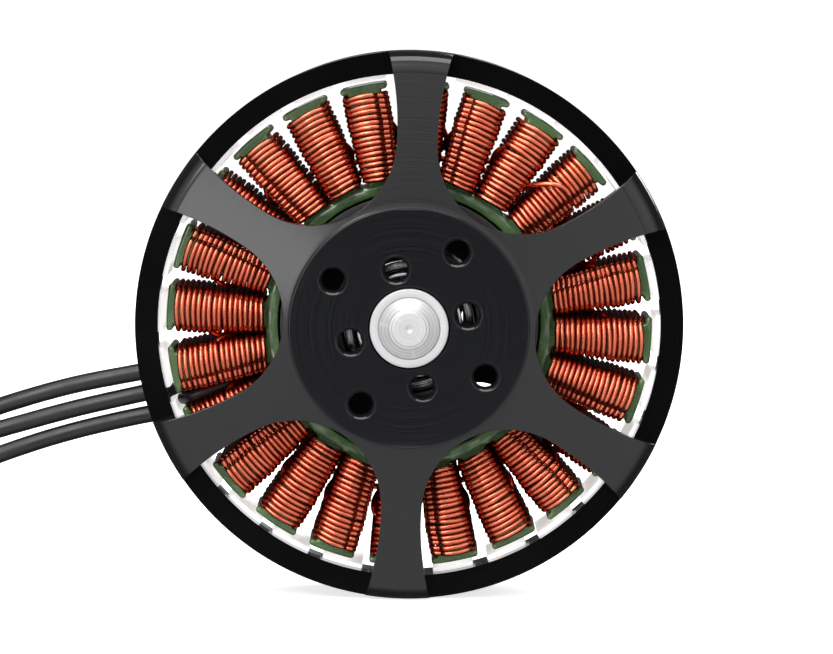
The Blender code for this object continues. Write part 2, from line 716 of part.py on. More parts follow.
def lead(number, looks):
    """One lead with its joint sleeve, end sleeve and bullet connector."""
    points = smooth_route(LEAD_ROUTES[number], LEAD_LENGTH, LEAD_STEP)
    curve = bpy.data.curves.new(f"lead_{number + 1}", "CURVE")
    curve.dimensions = "3D"
    curve.bevel_depth = LEAD_R * MM
    curve.bevel_resolution = LEAD_BEVEL_STEPS
    curve.use_fill_caps = True
    spline = curve.splines.new("POLY")
    spline.points.add(len(points) - 1)
    for point, place in zip(spline.points, points):
        point.co = (*(place * MM), 1)
    curve.materials.append(looks["silicone"])
    tube = bpy.data.objects.new(f"lead_{number + 1}", curve)
    bpy.context.scene.collection.objects.link(tube)

    inner = Vector(SLEEVE_STARTS[number])
    run = points[0] - inner
    sleeve = rounded_rod(f"lead_joint_sleeve_{number + 1}", JOINT_SLEEVE_R, run.length - GAP)
    along(add_object(sleeve.name, sleeve, looks["shrink"], None), inner, run)

    heading = (points[-1] - points[-2]).normalized()
    start = points[-1] + heading * GAP
    sleeve = rounded_rod(f"lead_end_sleeve_{number + 1}", END_SLEEVE_R, END_SLEEVE_LENGTH)
    along(add_object(sleeve.name, sleeve, looks["shrink"], None), start, heading)
    start = start + heading * (END_SLEEVE_LENGTH + GAP)
    bullet = bullet_mesh(f"bullet_connector_{number + 1}")
    along(add_object(bullet.name, bullet, looks["gold"], None), start, heading)


def rounded_rod(name, radius, length):
    profile = [
        (0, length),
        (radius - SLEEVE_EDGE, length),
        (radius, length - SLEEVE_EDGE),
        (radius, SLEEVE_EDGE),
        (radius - SLEEVE_EDGE, 0),
        (0, 0),
    ]
    return turned(name, profile, SMALL_STEPS, closed=False)


def bullet_mesh(name):
    """Collar, then a pin with a slight bulge and a tapered tip."""
    middle = BULLET_LENGTH / 2
    taper_start = BULLET_LENGTH - BULLET_TAPER
    half_bulge = BULLET_STRAIGHT / 2
    profile = [
        (0, BULLET_LENGTH),
        (BULLET_TIP_R, BULLET_LENGTH),
        (BULLET_WAIST_R, taper_start),
        (BULLET_WAIST_R, taper_start - half_bulge),
        (BULLET_R, middle + half_bulge),
        (BULLET_R, middle - half_bulge),
        (BULLET_WAIST_R, BULLET_COLLAR_LENGTH + half_bulge),
        (BULLET_WAIST_R, BULLET_COLLAR_LENGTH),
        (BULLET_COLLAR_R, BULLET_COLLAR_LENGTH),
        (BULLET_COLLAR_R, 0),
        (0, 0),
    ]
    return turned(name, profile, SMALL_STEPS, closed=False)


def build():
    clear_scene()
    looks = {
        "anodised": material("anodised", (0.022, 0.023, 0.026), 0.38, 0.85),
        "flux_steel": material("flux_steel", (0.012, 0.012, 0.013), 0.30, 0.80),
        "nickel": material("nickel", (0.72, 0.71, 0.69), 0.25, 1.0),
        "shaft_steel": material("shaft_steel", (0.76, 0.76, 0.77), 0.28, 1.0),
        "green_coat": material("green_coat", (0.055, 0.16, 0.06), 0.25, 0.0),
        "copper": material("copper", (0.62, 0.16, 0.07), 0.28, 0.9),
        "base_anodised": material("base_anodised", (0.018, 0.018, 0.020), 0.45, 0.7),
        "bearing_steel": material("bearing_steel", (0.58, 0.58, 0.60), 0.20, 1.0),
        "shield": material("shield", (0.42, 0.42, 0.43), 0.35, 1.0),
        "cage": material("cage", (0.55, 0.54, 0.50), 0.30, 1.0),
        "spring_steel": material("spring_steel", (0.10, 0.10, 0.11), 0.35, 0.9),
        "silicone": material("silicone", (0.020, 0.020, 0.021), 0.48, 0.0),
        "shrink": material("shrink", (0.015, 0.015, 0.016), 0.40, 0.0),
        "gold": material("gold", (0.83, 0.62, 0.25), 0.22, 1.0),
    }
    axes = {
        "rotor": axis_empty("rotor_axis"),
        "stator": axis_empty("stator_axis"),
        "front_bearing": axis_empty("front_cage_axis"),
        "rear_bearing": axis_empty("rear_cage_axis"),
    }
    rotor_bell(axes["rotor"], looks["anodised"])
    flux_ring(axes["rotor"], looks["flux_steel"])
    magnets(axes["rotor"], looks["nickel"])
    shaft(axes["rotor"], looks["shaft_steel"])
    shaft_shim(axes["rotor"], looks["bearing_steel"])
    shaft_circlip(axes["rotor"], looks["spring_steel"])
    stator_base(axes["stator"], looks["base_anodised"])
    stator_core(axes["stator"], looks["green_coat"])
    windings(axes["stator"], looks["copper"])
    bearing("front_bearing", FRONT_BEARING_REAR, axes, looks)
    bearing("rear_bearing", REAR_BEARING_REAR, axes, looks)
    for number in range(len(LEAD_ROUTES)):
        lead(number, looks)


build()
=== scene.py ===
import random
from math import acos, atan2, cos, hypot, pi, radians, sin, sqrt, tau

import bmesh
import bpy
import numpy as np
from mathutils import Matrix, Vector
from mathutils.geometry import tessellate_polygon


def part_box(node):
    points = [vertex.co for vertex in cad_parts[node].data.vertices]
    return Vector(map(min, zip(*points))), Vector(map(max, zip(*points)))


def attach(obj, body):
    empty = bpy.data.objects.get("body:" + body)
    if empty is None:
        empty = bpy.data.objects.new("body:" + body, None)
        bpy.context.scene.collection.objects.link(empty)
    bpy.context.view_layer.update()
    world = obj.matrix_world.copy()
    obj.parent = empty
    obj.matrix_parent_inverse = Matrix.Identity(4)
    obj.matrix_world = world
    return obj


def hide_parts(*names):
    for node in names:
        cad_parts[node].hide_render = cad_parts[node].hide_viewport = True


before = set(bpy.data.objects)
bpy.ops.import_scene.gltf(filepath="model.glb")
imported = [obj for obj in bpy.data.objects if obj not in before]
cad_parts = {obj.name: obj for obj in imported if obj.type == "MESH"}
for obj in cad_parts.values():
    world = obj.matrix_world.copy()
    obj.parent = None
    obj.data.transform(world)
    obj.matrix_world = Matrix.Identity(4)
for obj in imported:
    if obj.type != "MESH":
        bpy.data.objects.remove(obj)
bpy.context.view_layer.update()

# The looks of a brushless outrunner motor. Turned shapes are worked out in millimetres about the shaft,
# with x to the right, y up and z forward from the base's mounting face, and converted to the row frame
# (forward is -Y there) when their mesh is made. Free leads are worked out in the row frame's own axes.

MM = 0.001
SHARP_DEG = 38.0
WELD = 2e-7
rng = random.Random(24)

# Radii and heights that the CAD settles, read from its nodes.
BELL_LOW, BELL_HIGH = (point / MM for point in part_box("rotor_bell"))
OUTER_R = BELL_HIGH.x
HUB_FRONT = -BELL_LOW.y
RIM_REAR = -BELL_HIGH.y
CORE_LOW, CORE_HIGH = (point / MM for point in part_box("stator_core"))
CORE_FRONT = -CORE_LOW.y
CORE_REAR = -CORE_HIGH.y
SHAFT_LOW, SHAFT_HIGH = (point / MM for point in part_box("shaft"))
NOSE_FRONT = -SHAFT_LOW.y
SHAFT_REAR = -SHAFT_HIGH.y
FLOOR = BELL_LOW.z


# ---------------------------------------------------------------- meshes


def shaft_frame(points):
    """Millimetres about the shaft to metres in the row frame."""
    points = np.asarray(points, float).reshape(-1, 3) * MM
    return np.column_stack((points[:, 0], -points[:, 2], points[:, 1]))


def row_frame(points):
    return np.asarray(points, float).reshape(-1, 3) * MM


def polar(radius, angle, height=0.0):
    return (radius * cos(angle), radius * sin(angle), height)


def spun(point, angle):
    """A point laid out along x, turned about the shaft."""
    x, y, z = point
    return (cos(angle) * x - sin(angle) * y, sin(angle) * x + cos(angle) * y, z)


class Shell:
    """Points and faces gathered for one mesh."""

    def __init__(self):
        self.points = []
        self.faces = []

    def grid(self, rows, closed=False):
        """Quads between rows of equally many points. A closed grid joins each row's two ends."""
        start = len(self.points)
        rows = [list(row) for row in rows]
        width = len(rows[0])
        for row in rows:
            self.points.extend(tuple(point) for point in row)
        spans = width if closed else width - 1
        for i in range(len(rows) - 1):
            near = start + i * width
            far = near + width
            for j in range(spans):
                k = (j + 1) % width
                self.faces.append((near + j, near + k, far + k, far + j))

    def flat(self, loops):
        """A flat face with holes: the first loop is its outline."""
        start = len(self.points)
        for loop in loops:
            self.points.extend(tuple(point) for point in loop)
        corners = [[Vector(point) for point in loop] for loop in loops]
        self.faces.extend(tuple(start + i for i in face) for face in tessellate_polygon(corners))

    def tube(self, path, radius, sides=8, across=None, closed=False):
        """A round wire along a path. across is a steady direction, or None to carry one along."""
        path = np.asarray(path, float)
        ahead = np.roll(path, -1, axis=0) - np.roll(path, 1, axis=0)
        if not closed:
            ahead[0] = path[1] - path[0]
            ahead[-1] = path[-1] - path[-2]
        ahead /= np.linalg.norm(ahead, axis=1)[:, None]
        radii = np.broadcast_to(np.asarray(radius, float), (len(path),))
        side = np.zeros_like(path)
        if across is None:
            guess = np.array((0.0, 0.0, 1.0)) if abs(ahead[0][2]) < 0.9 else np.array((1.0, 0.0, 0.0))
            for i, along in enumerate(ahead):
                guess = guess - along * (guess @ along)
                guess /= np.linalg.norm(guess)
                side[i] = guess
        else:
            side[:] = np.asarray(across, float)
            side -= ahead * (side * ahead).sum(axis=1)[:, None]
            side /= np.linalg.norm(side, axis=1)[:, None]
        up = np.cross(ahead, side)
        rings = []
        for centre, a, b, r in zip(path, side, up, radii):
            rings.append([centre + r * (a * cos(t) + b * sin(t)) for t in turns(sides)])
        if closed:
            rings.append(rings[0])
        self.grid(rings, closed=True)
        if not closed:
            for ring, centre in ((rings[0], path[0]), (rings[-1], path[-1])):
                self.grid([ring, [centre] * sides], closed=True)

    def piece(self, name, look, body, replaced=(), slot=None, convert=shaft_frame, sharp=SHARP_DEG):
        return add_piece(name, self.built(convert), look, body, replaced, sharp)

    def built(self, convert=shaft_frame):
        """The shell as a bmesh in the row frame, welded, with its faces outwards."""
        bm = bmesh.new()
        verts = [bm.verts.new(point) for point in convert(self.points).tolist()]
        for face in self.faces:
            if len(set(face)) > 2:
                bm.faces.new([verts[i] for i in face])
        bmesh.ops.remove_doubles(bm, verts=bm.verts, dist=WELD)
        bmesh.ops.recalc_face_normals(bm, faces=bm.faces)
        return bm


def add_piece(name, bm, look, body, replaced=(), sharp=SHARP_DEG):
    mesh = bpy.data.meshes.new(name)
    bm.to_mesh(mesh)
    bm.free()
    mesh.shade_smooth()
    mesh.set_sharp_from_angle(angle=radians(sharp))
    mesh.materials.append(look)
    obj = bpy.data.objects.new(name, mesh)
    bpy.context.scene.collection.objects.link(obj)
    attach(obj, body)
    if replaced:
        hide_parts(*replaced)
    even = obj.modifiers.new("even_flats", "WEIGHTED_NORMAL")
    even.keep_sharp = True
    return obj


def turns(count, start=0.0):
    return [start + tau * i / count for i in range(count)]


def rounded(profile, radius, steps=3, closed=True):
    """The outline with each corner turned into a short arc-like curve."""
    made = []
    count = len(profile)
    for i, corner in enumerate(profile):
        here = np.array(corner, float)
        if not closed and i in (0, count - 1):
            made.append(tuple(here))
            continue
        before = np.array(profile[i - 1], float) - here
        after = np.array(profile[(i + 1) % count], float) - here
        reach = min(radius, 0.45 * np.linalg.norm(before), 0.45 * np.linalg.norm(after))
        start = here + before / np.linalg.norm(before) * reach
        end = here + after / np.linalg.norm(after) * reach
        for step in range(steps + 1):
            t = step / steps
            made.append(tuple((1 - t) ** 2 * start + 2 * t * (1 - t) * here + t * t * end))
    return made


def turned(profile, steps=128, closed=True):
    """A shell from an outline of (radius, height) turned about the shaft."""
    shell = Shell()
    rows = [[polar(r, t, z) for t in turns(steps)] for r, z in profile]
    shell.grid(rows + rows[:1] if closed else rows, closed=True)
    return shell


def offset_loop(loop, distance):
    """A flat loop of (x, y), anticlockwise, moved inwards by a distance."""
    loop = np.asarray(loop, float)
    before = loop - np.roll(loop, 1, axis=0)
    after = np.roll(loop, -1, axis=0) - loop
    normals = []
    for edge in (before, after):
        edge = edge / np.linalg.norm(edge, axis=1)[:, None]
        normals.append(np.column_stack((-edge[:, 1], edge[:, 0])))
    middle = normals[0] + normals[1]
    middle /= np.linalg.norm(middle, axis=1)[:, None]
    stretch = np.maximum((middle * normals[0]).sum(axis=1), 0.6)
    return loop + middle * (distance / stretch)[:, None]


def slab(loops, low, high, edge, steps=3):
    """A flat plate over an outline and its holes, with rounded rims. Holes run clockwise."""
    shell = Shell()
    levels = []
    for step in range(steps + 1):
        t = pi / 2 * step / steps
        levels.append((edge * (1 - sin(t)), low + edge * (1 - cos(t))))
    levels += [(inset, low + high - z) for inset, z in reversed(levels)]
    caps = ([], [])
    for loop in loops:
        rows = []
        for inset, z in levels:
            rows.append([(x, y, z) for x, y in offset_loop(loop, inset)])
        shell.grid(rows, closed=True)
        caps[0].append(rows[0])
        caps[1].append(rows[-1])
    for cap in caps:
        shell.flat(cap)
    return shell


# ---------------------------------------------------------------- materials


def add_node(tree, kind, inputs=(), **settings):
    """A shader node with its settings, and each input either linked or set."""
    made = tree.nodes.new("ShaderNode" + kind)
    for name, value in settings.items():
        setattr(made, name, value)
    for socket, value in dict(inputs).items():
        if isinstance(value, bpy.types.NodeSocket):
            tree.links.new(value, made.inputs[socket])
        else:
            made.inputs[socket].default_value = value
    return made


class Look:
    """One material: a Principled shader, and what varies over the piece's own shape."""

    def __init__(self, name, colour, roughness, metallic=0.0, **sockets):
        self.material = bpy.data.materials.new(name)
        self.material.use_nodes = True
        self.tree = self.material.node_tree
        self.shader = self.tree.nodes["Principled BSDF"]
        self.shader.inputs["Base Color"].default_value = (*colour, 1)
        self.shader.inputs["Roughness"].default_value = roughness
        self.shader.inputs["Metallic"].default_value = metallic
        for socket, value in sockets.items():
            self.shader.inputs[socket.replace("_", " ")].default_value = value
        self.place = self.node("TexCoord").outputs["Object"]
        self.material.diffuse_color = (*colour, 1)

    def node(self, kind, inputs=(), **settings):
        return add_node(self.tree, kind, inputs, **settings)

    def math(self, operation, first, second=0.0):
        return self.node("Math", {0: first, 1: second}, operation=operation).outputs[0]

    def across(self, scale=(1, 1, 1)):
        return self.node("Mapping", {"Vector": self.place, "Scale": scale}).outputs[0]

    def noise(self, scale, detail=3.0, stretch=(1, 1, 1), rough=0.5):
        inputs = {"Vector": self.across(stretch), "Scale": scale, "Detail": detail, "Roughness": rough}
        return self.node("TexNoise", inputs).outputs["Fac"]

    def radius(self):
        """Distance from the shaft."""
        flat = self.node("VectorMath", {0: self.place, 1: (1, 0, 1)}, operation="MULTIPLY").outputs[0]
        return self.node("VectorMath", {0: flat}, operation="LENGTH").outputs["Value"]

    def rings(self, per_metre, detail=2.0):
        """Noise that only changes with the distance from the shaft, as a lathe leaves it."""
        value = self.math("MULTIPLY", self.radius(), per_metre)
        inputs = {"W": value, "Scale": 1.0, "Detail": detail}
        return self.node("TexNoise", inputs, noise_dimensions="1D").outputs[0]

    def span(self, value, low, high, start=0.3, end=0.7):
        """The value from start to end, spread over low to high."""
        inputs = {"Value": value, "From Min": start, "From Max": end, "To Min": low, "To Max": high}
        return self.node("MapRange", inputs).outputs[0]

    def blend(self, share, first, second):
        made = self.node("Mix", data_type="RGBA")
        for index, value in ((0, share), (6, first), (7, second)):
            if isinstance(value, bpy.types.NodeSocket):
                self.tree.links.new(value, made.inputs[index])
            else:
                made.inputs[index].default_value = value if index == 0 else (*value, 1)
        return made.outputs[2]

    def edges(self, start=0.52, end=0.62):
        """0 on flat stretches and 1 on sharp outer edges."""
        pointed = self.node("NewGeometry").outputs["Pointiness"]
        return self.span(pointed, 0.0, 1.0, start, end)

    def set(self, socket, value):
        self.tree.links.new(value, self.shader.inputs[socket])

    def bump(self, height, strength, distance):
        previous = self.shader.inputs["Normal"].links
        made = self.node("Bump", {"Height": height, "Strength": strength, "Distance": distance})
        if previous:
            self.tree.links.new(previous[0].from_socket, made.inputs["Normal"])
        self.tree.links.new(made.outputs[0], self.shader.inputs["Normal"])


def machined(name, colour, wear_and_edge_highlight, roughness, metallic, lathe=9000.0, **sockets):
    """Turned metal: fine lathe lines, soft mottling, and lighter sharp edges, partly worn finish and partly a
    painted edge highlight.
    """
    look = Look(name, colour, roughness, metallic, **sockets)
    lines = look.rings(lathe)
    cloud = look.noise(90.0, 4.0)
    tone = look.blend(look.span(cloud, 0.0, 0.35), colour, tuple(min(1.0, c * 1.6) for c in colour))
    tone = look.blend(look.span(lines, 0.0, 0.3), tone, tuple(min(1.0, c * 2.0) for c in colour))
    # Sharp edges take a lighter colour: worn finish, and a painted highlight along the edges.
    look.set("Base Color", look.blend(look.edges(), tone, wear_and_edge_highlight))
    mixed = look.math("ADD", look.math("MULTIPLY", lines, 0.6), look.math("MULTIPLY", cloud, 0.4))
    look.set("Roughness", look.span(mixed, roughness - 0.05, roughness + 0.07))
    look.bump(lines, 0.25, 0.00002)
    look.bump(look.noise(2500.0, 2.0), 0.12, 0.00001)
    return look.material


def plain_metal(name, colour, dark, roughness, grain=1400.0, metallic=1.0, glow=0.0):
    """Bare or plated metal with faint stains and a fine grain. glow is light of its own, which real metal
    doesn't have: it keeps the magnets as white as the photo shows them."""
    look = Look(name, colour, roughness, metallic, Emission_Color=(*colour, 1), Emission_Strength=glow)
    cloud = look.noise(160.0, 4.0)
    look.set("Base Color", look.blend(look.span(cloud, 0.0, 0.6), colour, dark))
    look.set("Roughness", look.span(look.noise(grain, 3.0), roughness - 0.06, roughness + 0.10))
    look.bump(look.noise(grain, 3.0), 0.15, 0.00001)
    return look.material


def copper_look():
    """Enamelled copper wire: salmon highlights, redder where the enamel is thick."""
    look = Look("enamelled_copper", (0.68, 0.20, 0.11), 0.24, 1.0, Specular_Tint=(0.10, 0.04, 0.03, 1))
    cloud = look.noise(260.0, 3.0)
    fine = look.noise(1500.0, 2.0)
    tone = look.blend(look.span(cloud, 0.0, 0.8), (0.74, 0.20, 0.12), (0.54, 0.11, 0.055))
    look.set("Base Color", look.blend(look.span(fine, 0.0, 0.12, 0.55, 0.8), tone, (0.30, 0.055, 0.03)))
    look.set("Roughness", look.span(fine, 0.22, 0.29))
    look.bump(look.noise(500.0, 2.0), 0.05, 0.00002)
    return look.material


def epoxy_look():
    """Thick green insulating coat: glossy, uneven, and paler over edges, partly where it thins and partly as
    a painted edge highlight.
    """
    look = Look("green_epoxy", (0.05, 0.13, 0.045), 0.2, 0.0, Coat_Weight=0.9, Coat_Roughness=0.06)
    cloud = look.noise(120.0, 4.0)
    tone = look.blend(look.span(cloud, 0.0, 1.0), (0.062, 0.135, 0.045), (0.135, 0.235, 0.095))
    # Edges are paler: thinner coat, and a painted highlight along the rounded edges.
    coated = look.blend(look.edges(0.54, 0.72), tone, (0.15, 0.26, 0.11))
    bare = look.span(look.radius(), 0.0, 1.0, 0.04092, 0.04096)
    look.set("Base Color", look.blend(bare, coated, (0.72, 0.71, 0.69)))
    look.set("Metallic", look.math("MULTIPLY", bare, 0.8))
    look.set("Roughness", look.span(look.noise(400.0, 3.0), 0.16, 0.34))
    look.bump(look.noise(230.0, 3.0), 0.35, 0.00012)
    look.bump(look.noise(1100.0, 2.0), 0.15, 0.00003)
    return look.material


def rubber_look(name, colour, roughness, pore=1800.0):
    """Soft sleeve or lead: matt, faintly dusty, with a fine skin."""
    look = Look(name, colour, roughness, 0.0, Specular_IOR_Level=0.45)
    cloud = look.noise(70.0, 4.0)
    look.set("Base Color", look.blend(look.span(cloud, 0.0, 0.8), colour, tuple(c * 1.9 for c in colour)))
    look.set("Roughness", look.span(look.noise(300.0, 4.0), roughness - 0.08, roughness + 0.10))
    look.bump(look.noise(pore, 2.0), 0.18, 0.00003)
    look.bump(look.noise(160.0, 3.0), 0.20, 0.00012)
    return look.material


LATHE_FEED = 0.00031


def bell_look():
    """Black anodised aluminium: turned hub and spokes, and a smoother rim behind them with painted shade: a
    darker colour where it is set back.
    """
    look = Look("black_anodised", (0.0055, 0.0058, 0.0065), 0.2, 0.0, Specular_IOR_Level=0.42)
    feed = look.math("SINE", look.math("MULTIPLY", look.radius(), tau / LATHE_FEED))
    lines = look.math("ADD", look.math("MULTIPLY", feed, 0.22), look.rings(2600.0, 3.0))
    cloud = look.noise(70.0, 4.0)
    behind = look.node("SeparateXYZ", {0: look.place}).outputs["Y"]
    rim = look.span(behind, 0.0, 1.0, -0.03130, -0.03124)
    tone = look.blend(look.span(lines, 0.0, 1.0), (0.0030, 0.0032, 0.0038), (0.0085, 0.0089, 0.0100))
    tone = look.blend(look.span(cloud, 0.0, 0.5), tone, (0.0060, 0.0062, 0.0070))
    # Painted shade: the rim, set back behind the spokes, is given a darker colour.
    look.set("Base Color", look.blend(rim, tone, (0.0012, 0.0012, 0.0014)))
    rough = look.span(lines, 0.125, 0.165)
    front_rough = look.math("MULTIPLY", rough, look.math("SUBTRACT", 1.0, rim))
    rim_rough = look.math("MULTIPLY", rim, look.span(cloud, 0.10, 0.13))
    look.set("Roughness", look.math("ADD", front_rough, rim_rough))
    ridge = look.math("MULTIPLY", lines, look.math("SUBTRACT", 1.0, look.math("MULTIPLY", rim, 0.9)))
    look.bump(ridge, 0.5, 0.00001)
    return look.material


LOOKS = {
    "bell": bell_look(),
    "flux": machined("blued_steel", (0.010, 0.010, 0.011), (0.10, 0.10, 0.10), 0.30, 0.6, 4000.0),
    "base": machined("base_anodised", (0.006, 0.006, 0.007), (0.06, 0.06, 0.06), 0.40, 0.0, 5000.0),
    "shaft": machined("ground_steel", (0.36, 0.36, 0.365), (0.50, 0.50, 0.50), 0.42, 0.45, 3600.0),
    "nickel": plain_metal("nickel_plating", (0.97, 0.96, 0.95), (0.90, 0.89, 0.88), 0.45, 1400.0, 0.1, 0.5),
    "bearing": plain_metal("bearing_steel", (0.88, 0.88, 0.90), (0.66, 0.66, 0.67), 0.13),
    "shield": plain_metal("bearing_shield", (0.70, 0.70, 0.72), (0.50, 0.50, 0.51), 0.18),
    "cage": plain_metal("pressed_steel", (0.60, 0.58, 0.54), (0.42, 0.40, 0.37), 0.28),
    "spring": plain_metal("spring_steel", (0.10, 0.10, 0.11), (0.05, 0.05, 0.055), 0.34),
    "gold": plain_metal("gold_plating", (0.86, 0.63, 0.27), (0.70, 0.47, 0.17), 0.20),
    "copper": copper_look(),
    "epoxy": epoxy_look(),
    "silicone": rubber_look("lead_silicone", (0.0065, 0.0062, 0.0065), 0.36),
    "shrink": rubber_look("heat_shrink", (0.006, 0.006, 0.0065), 0.34, 900.0),
}


# ---------------------------------------------------------------- camera, light and floor

RIM_FRONT = 31.0
VIEW_DISTANCE = 0.8
VIEW_ELEVATION = radians(3.7)
PICTURE_WIDTH = 0.13965  # what the picture spans at the rim
SENSOR = 36.0
AIM = Vector((0.00123, -RIM_FRONT * MM, -0.00027))


def camera():
    data = bpy.data.cameras.new("camera")
    data.sensor_width = SENSOR
    data.lens = SENSOR * VIEW_DISTANCE / PICTURE_WIDTH
    data.clip_end = 50
    obj = bpy.data.objects.new("camera", data)
    back = Vector((0, -cos(VIEW_ELEVATION), sin(VIEW_ELEVATION)))
    obj.location = AIM + back * VIEW_DISTANCE
    obj.rotation_euler = (-back).to_track_quat("-Z", "Y").to_euler()
    bpy.context.scene.collection.objects.link(obj)
    bpy.context.scene.camera = obj


def area_light(name, place, size, power, colour=(1, 1, 1)):
    data = bpy.data.lights.new(name, "AREA")
    data.shape = "RECTANGLE"
    data.size, data.size_y = size
    data.energy = power
    data.color = colour
    obj = bpy.data.objects.new(name, data)
    obj.location = place
    aim = Vector((0, -0.02, 0)) - Vector(place)
    obj.rotation_euler = aim.to_track_quat("-Z", "Y").to_euler()
    bpy.context.scene.collection.objects.link(obj)


# How bright the surroundings are, from straight ahead of the motor (0) to straight behind it (1).
LIGHT_AROUND = (
    (0.0, 0.02), (0.0045, 0.03), (0.019, 1.0), (0.19, 1.0), (0.42, 0.04), (0.60, 0.04), (0.85, 0.05),
    (0.95, 0.06), (1.0, 0.06),
)
RING_LIGHT = 1.6
WHITE_SEEN = 1.1
# Name, place, size and power of each lamp.
LAMPS = (
    ("key", (-0.35, -0.75, 0.55), (0.5, 0.5), 5.0),
    ("left", (-0.308, -1.10, 0.094), (0.26, 0.22), 0.75),
    ("top", (0.0, -0.20, 0.9), (0.9, 0.45), 7.0),
    ("back", (0.45, 0.85, 0.55), (0.6, 0.6), 9.0),
)


def surroundings():
    """White all round for the camera. The light on the motor comes mostly from a wide ring round the camera,
    with the dark inside it, at the sides and behind, and from four lamps."""
    world = bpy.data.worlds.new("studio")
    bpy.context.scene.world = world
    world.use_nodes = True
    tree = world.node_tree

    def add(kind, inputs=(), **settings):
        return add_node(tree, kind, inputs, **settings)

    facing = add("SeparateXYZ", {0: add("TexCoord").outputs["Generated"]})
    along = add("MapRange", {"Value": facing.outputs["Y"], "From Min": -1.0, "From Max": 1.0})
    ramp = add("ValToRGB", {0: along.outputs[0]})
    for place, shade in LIGHT_AROUND[1:-1]:
        ramp.color_ramp.elements.new(place)
    for element, (place, shade) in zip(ramp.color_ramp.elements, LIGHT_AROUND):
        element.position = place
        element.color = (shade, shade, shade, 1)
    height = add("MapRange", {"Value": facing.outputs["Z"], "From Min": -0.4, "From Max": 0.6,
                              "To Min": 0.6 * RING_LIGHT, "To Max": RING_LIGHT})
    strength = add("Math", {0: ramp.outputs[0], 1: height.outputs[0]}, operation="MULTIPLY").outputs[0]
    lit = add("Background", {"Strength": strength})
    lit.inputs["Color"].default_value = (1, 1, 1, 1)
    shown = add("Background", {"Strength": WHITE_SEEN})
    shown.inputs["Color"].default_value = (1, 1, 1, 1)
    seen = add("LightPath").outputs["Is Camera Ray"]
    choose = add("MixShader", {0: seen, 1: lit.outputs[0], 2: shown.outputs[0]})
    tree.links.new(choose.outputs[0], tree.nodes["World Output"].inputs["Surface"])
    bpy.context.scene.view_settings.view_transform = "Standard"
    for lamp in LAMPS:
        area_light(*lamp)


def floor():
    """A plain pale floor, just bright enough to run into the white behind it."""
    size, front = 2.6, -0.16
    bm = bmesh.new()
    bmesh.ops.create_grid(bm, x_segments=8, y_segments=8, size=size / 2)
    mesh = bpy.data.meshes.new("floor")
    bm.to_mesh(mesh)
    bm.free()
    look = Look("floor_white", (0.9, 0.9, 0.9), 0.8)
    look.set("Base Color", look.blend(look.noise(3.0), (0.90, 0.90, 0.90), (0.92, 0.92, 0.92)))
    look.shader.inputs["Emission Color"].default_value = (1, 1, 1, 1)
    look.shader.inputs["Emission Strength"].default_value = 0.75
    mesh.materials.append(look.material)
    obj = bpy.data.objects.new("floor", mesh)
    obj.location = (0, front + size / 2, FLOOR * MM - 0.0001)
    obj.visible_glossy = False
    bpy.context.scene.collection.objects.link(obj)


# ---------------------------------------------------------------- leads

LEAD_R = 1.5
LEAD_LENGTH = 150.0
JOINT_SLEEVE_R = 1.8
END_SLEEVE_R = 2.3
END_SLEEVE_LENGTH = 12.0
LEAD_GAP = 0.3
SLEEVE_STARTS = ((-33.0, -3.0, -7.2), (-33.0, -3.0, -11.2), (-33.0, -3.0, -15.2))
LEAD_ROUTES = (
    (
        (-42.3, -3.0, -9.0), (-46.8, -3.0, -9.9), (-57.1, -2.7, -11.9), (-66.1, -2.2, -14.3),
        (-75.0, -1.4, -17.3), (-84.5, -0.4, -21.4), (-94.0, 0.5, -26.8), (-102.5, 1.2, -32.8),
        (-111.0, 1.6, -38.6), (-120.5, 1.7, -43.0), (-131.5, 1.4, -44.5), (-144.0, 0.8, -44.5),
        (-156.0, 0.3, -44.5), (-167.0, 0.2, -44.4), (-176.0, 0.4, -43.8), (-184.0, 0.8, -43.7),
        (-197.0, 1.4, -43.7),
    ),
    (
        (-42.3, -3.0, -12.8), (-46.8, -3.0, -13.7), (-57.0, -3.0, -16.0), (-66.0, -3.2, -18.4),
        (-75.0, -3.7, -21.1), (-84.5, -4.6, -25.4), (-93.0, -5.6, -30.8), (-101.0, -6.8, -36.5),
        (-109.5, -8.1, -41.6), (-119.0, -9.4, -44.4), (-130.0, -10.6, -44.5), (-141.5, -11.4, -44.5),
        (-153.0, -11.8, -44.5), (-164.0, -11.8, -44.4), (-173.0, -11.4, -43.8), (-182.0, -10.8, -43.7),
        (-195.0, -9.8, -43.7),
    ),
    (
        (-42.3, -3.0, -16.8), (-46.8, -3.0, -17.5), (-57.0, -3.2, -19.8), (-66.0, -3.7, -22.4),
        (-75.0, -4.9, -25.7), (-84.0, -6.9, -30.3), (-92.0, -9.3, -35.4), (-100.0, -12.2, -40.5),
        (-109.0, -15.7, -43.8), (-119.0, -19.2, -44.5), (-130.0, -22.3, -44.5), (-142.0, -24.6, -44.5),
        (-154.0, -25.6, -44.5), (-165.0, -25.3, -44.4), (-174.0, -24.3, -43.8), (-183.0, -22.8, -43.7),
        (-196.0, -20.2, -43.7),
    ),
)
CURVE_PARTS = 20
LEAD_STEP = 1.5


def smooth_path(points, parts):
    """A smooth curve through the points."""
    dense = [points[0]]
    for index in range(len(points) - 1):
        before = points[max(index - 1, 0)]
        start, end = points[index], points[index + 1]
        after = points[min(index + 2, len(points) - 1)]
        for part in range(1, parts + 1):
            t = part / parts
            square = (2 * before - 5 * start + 4 * end - after) * t**2
            cube = (3 * start - before - 3 * end + after) * t**3
            dense.append(0.5 * (2 * start + (end - before) * t + square + cube))
    return dense


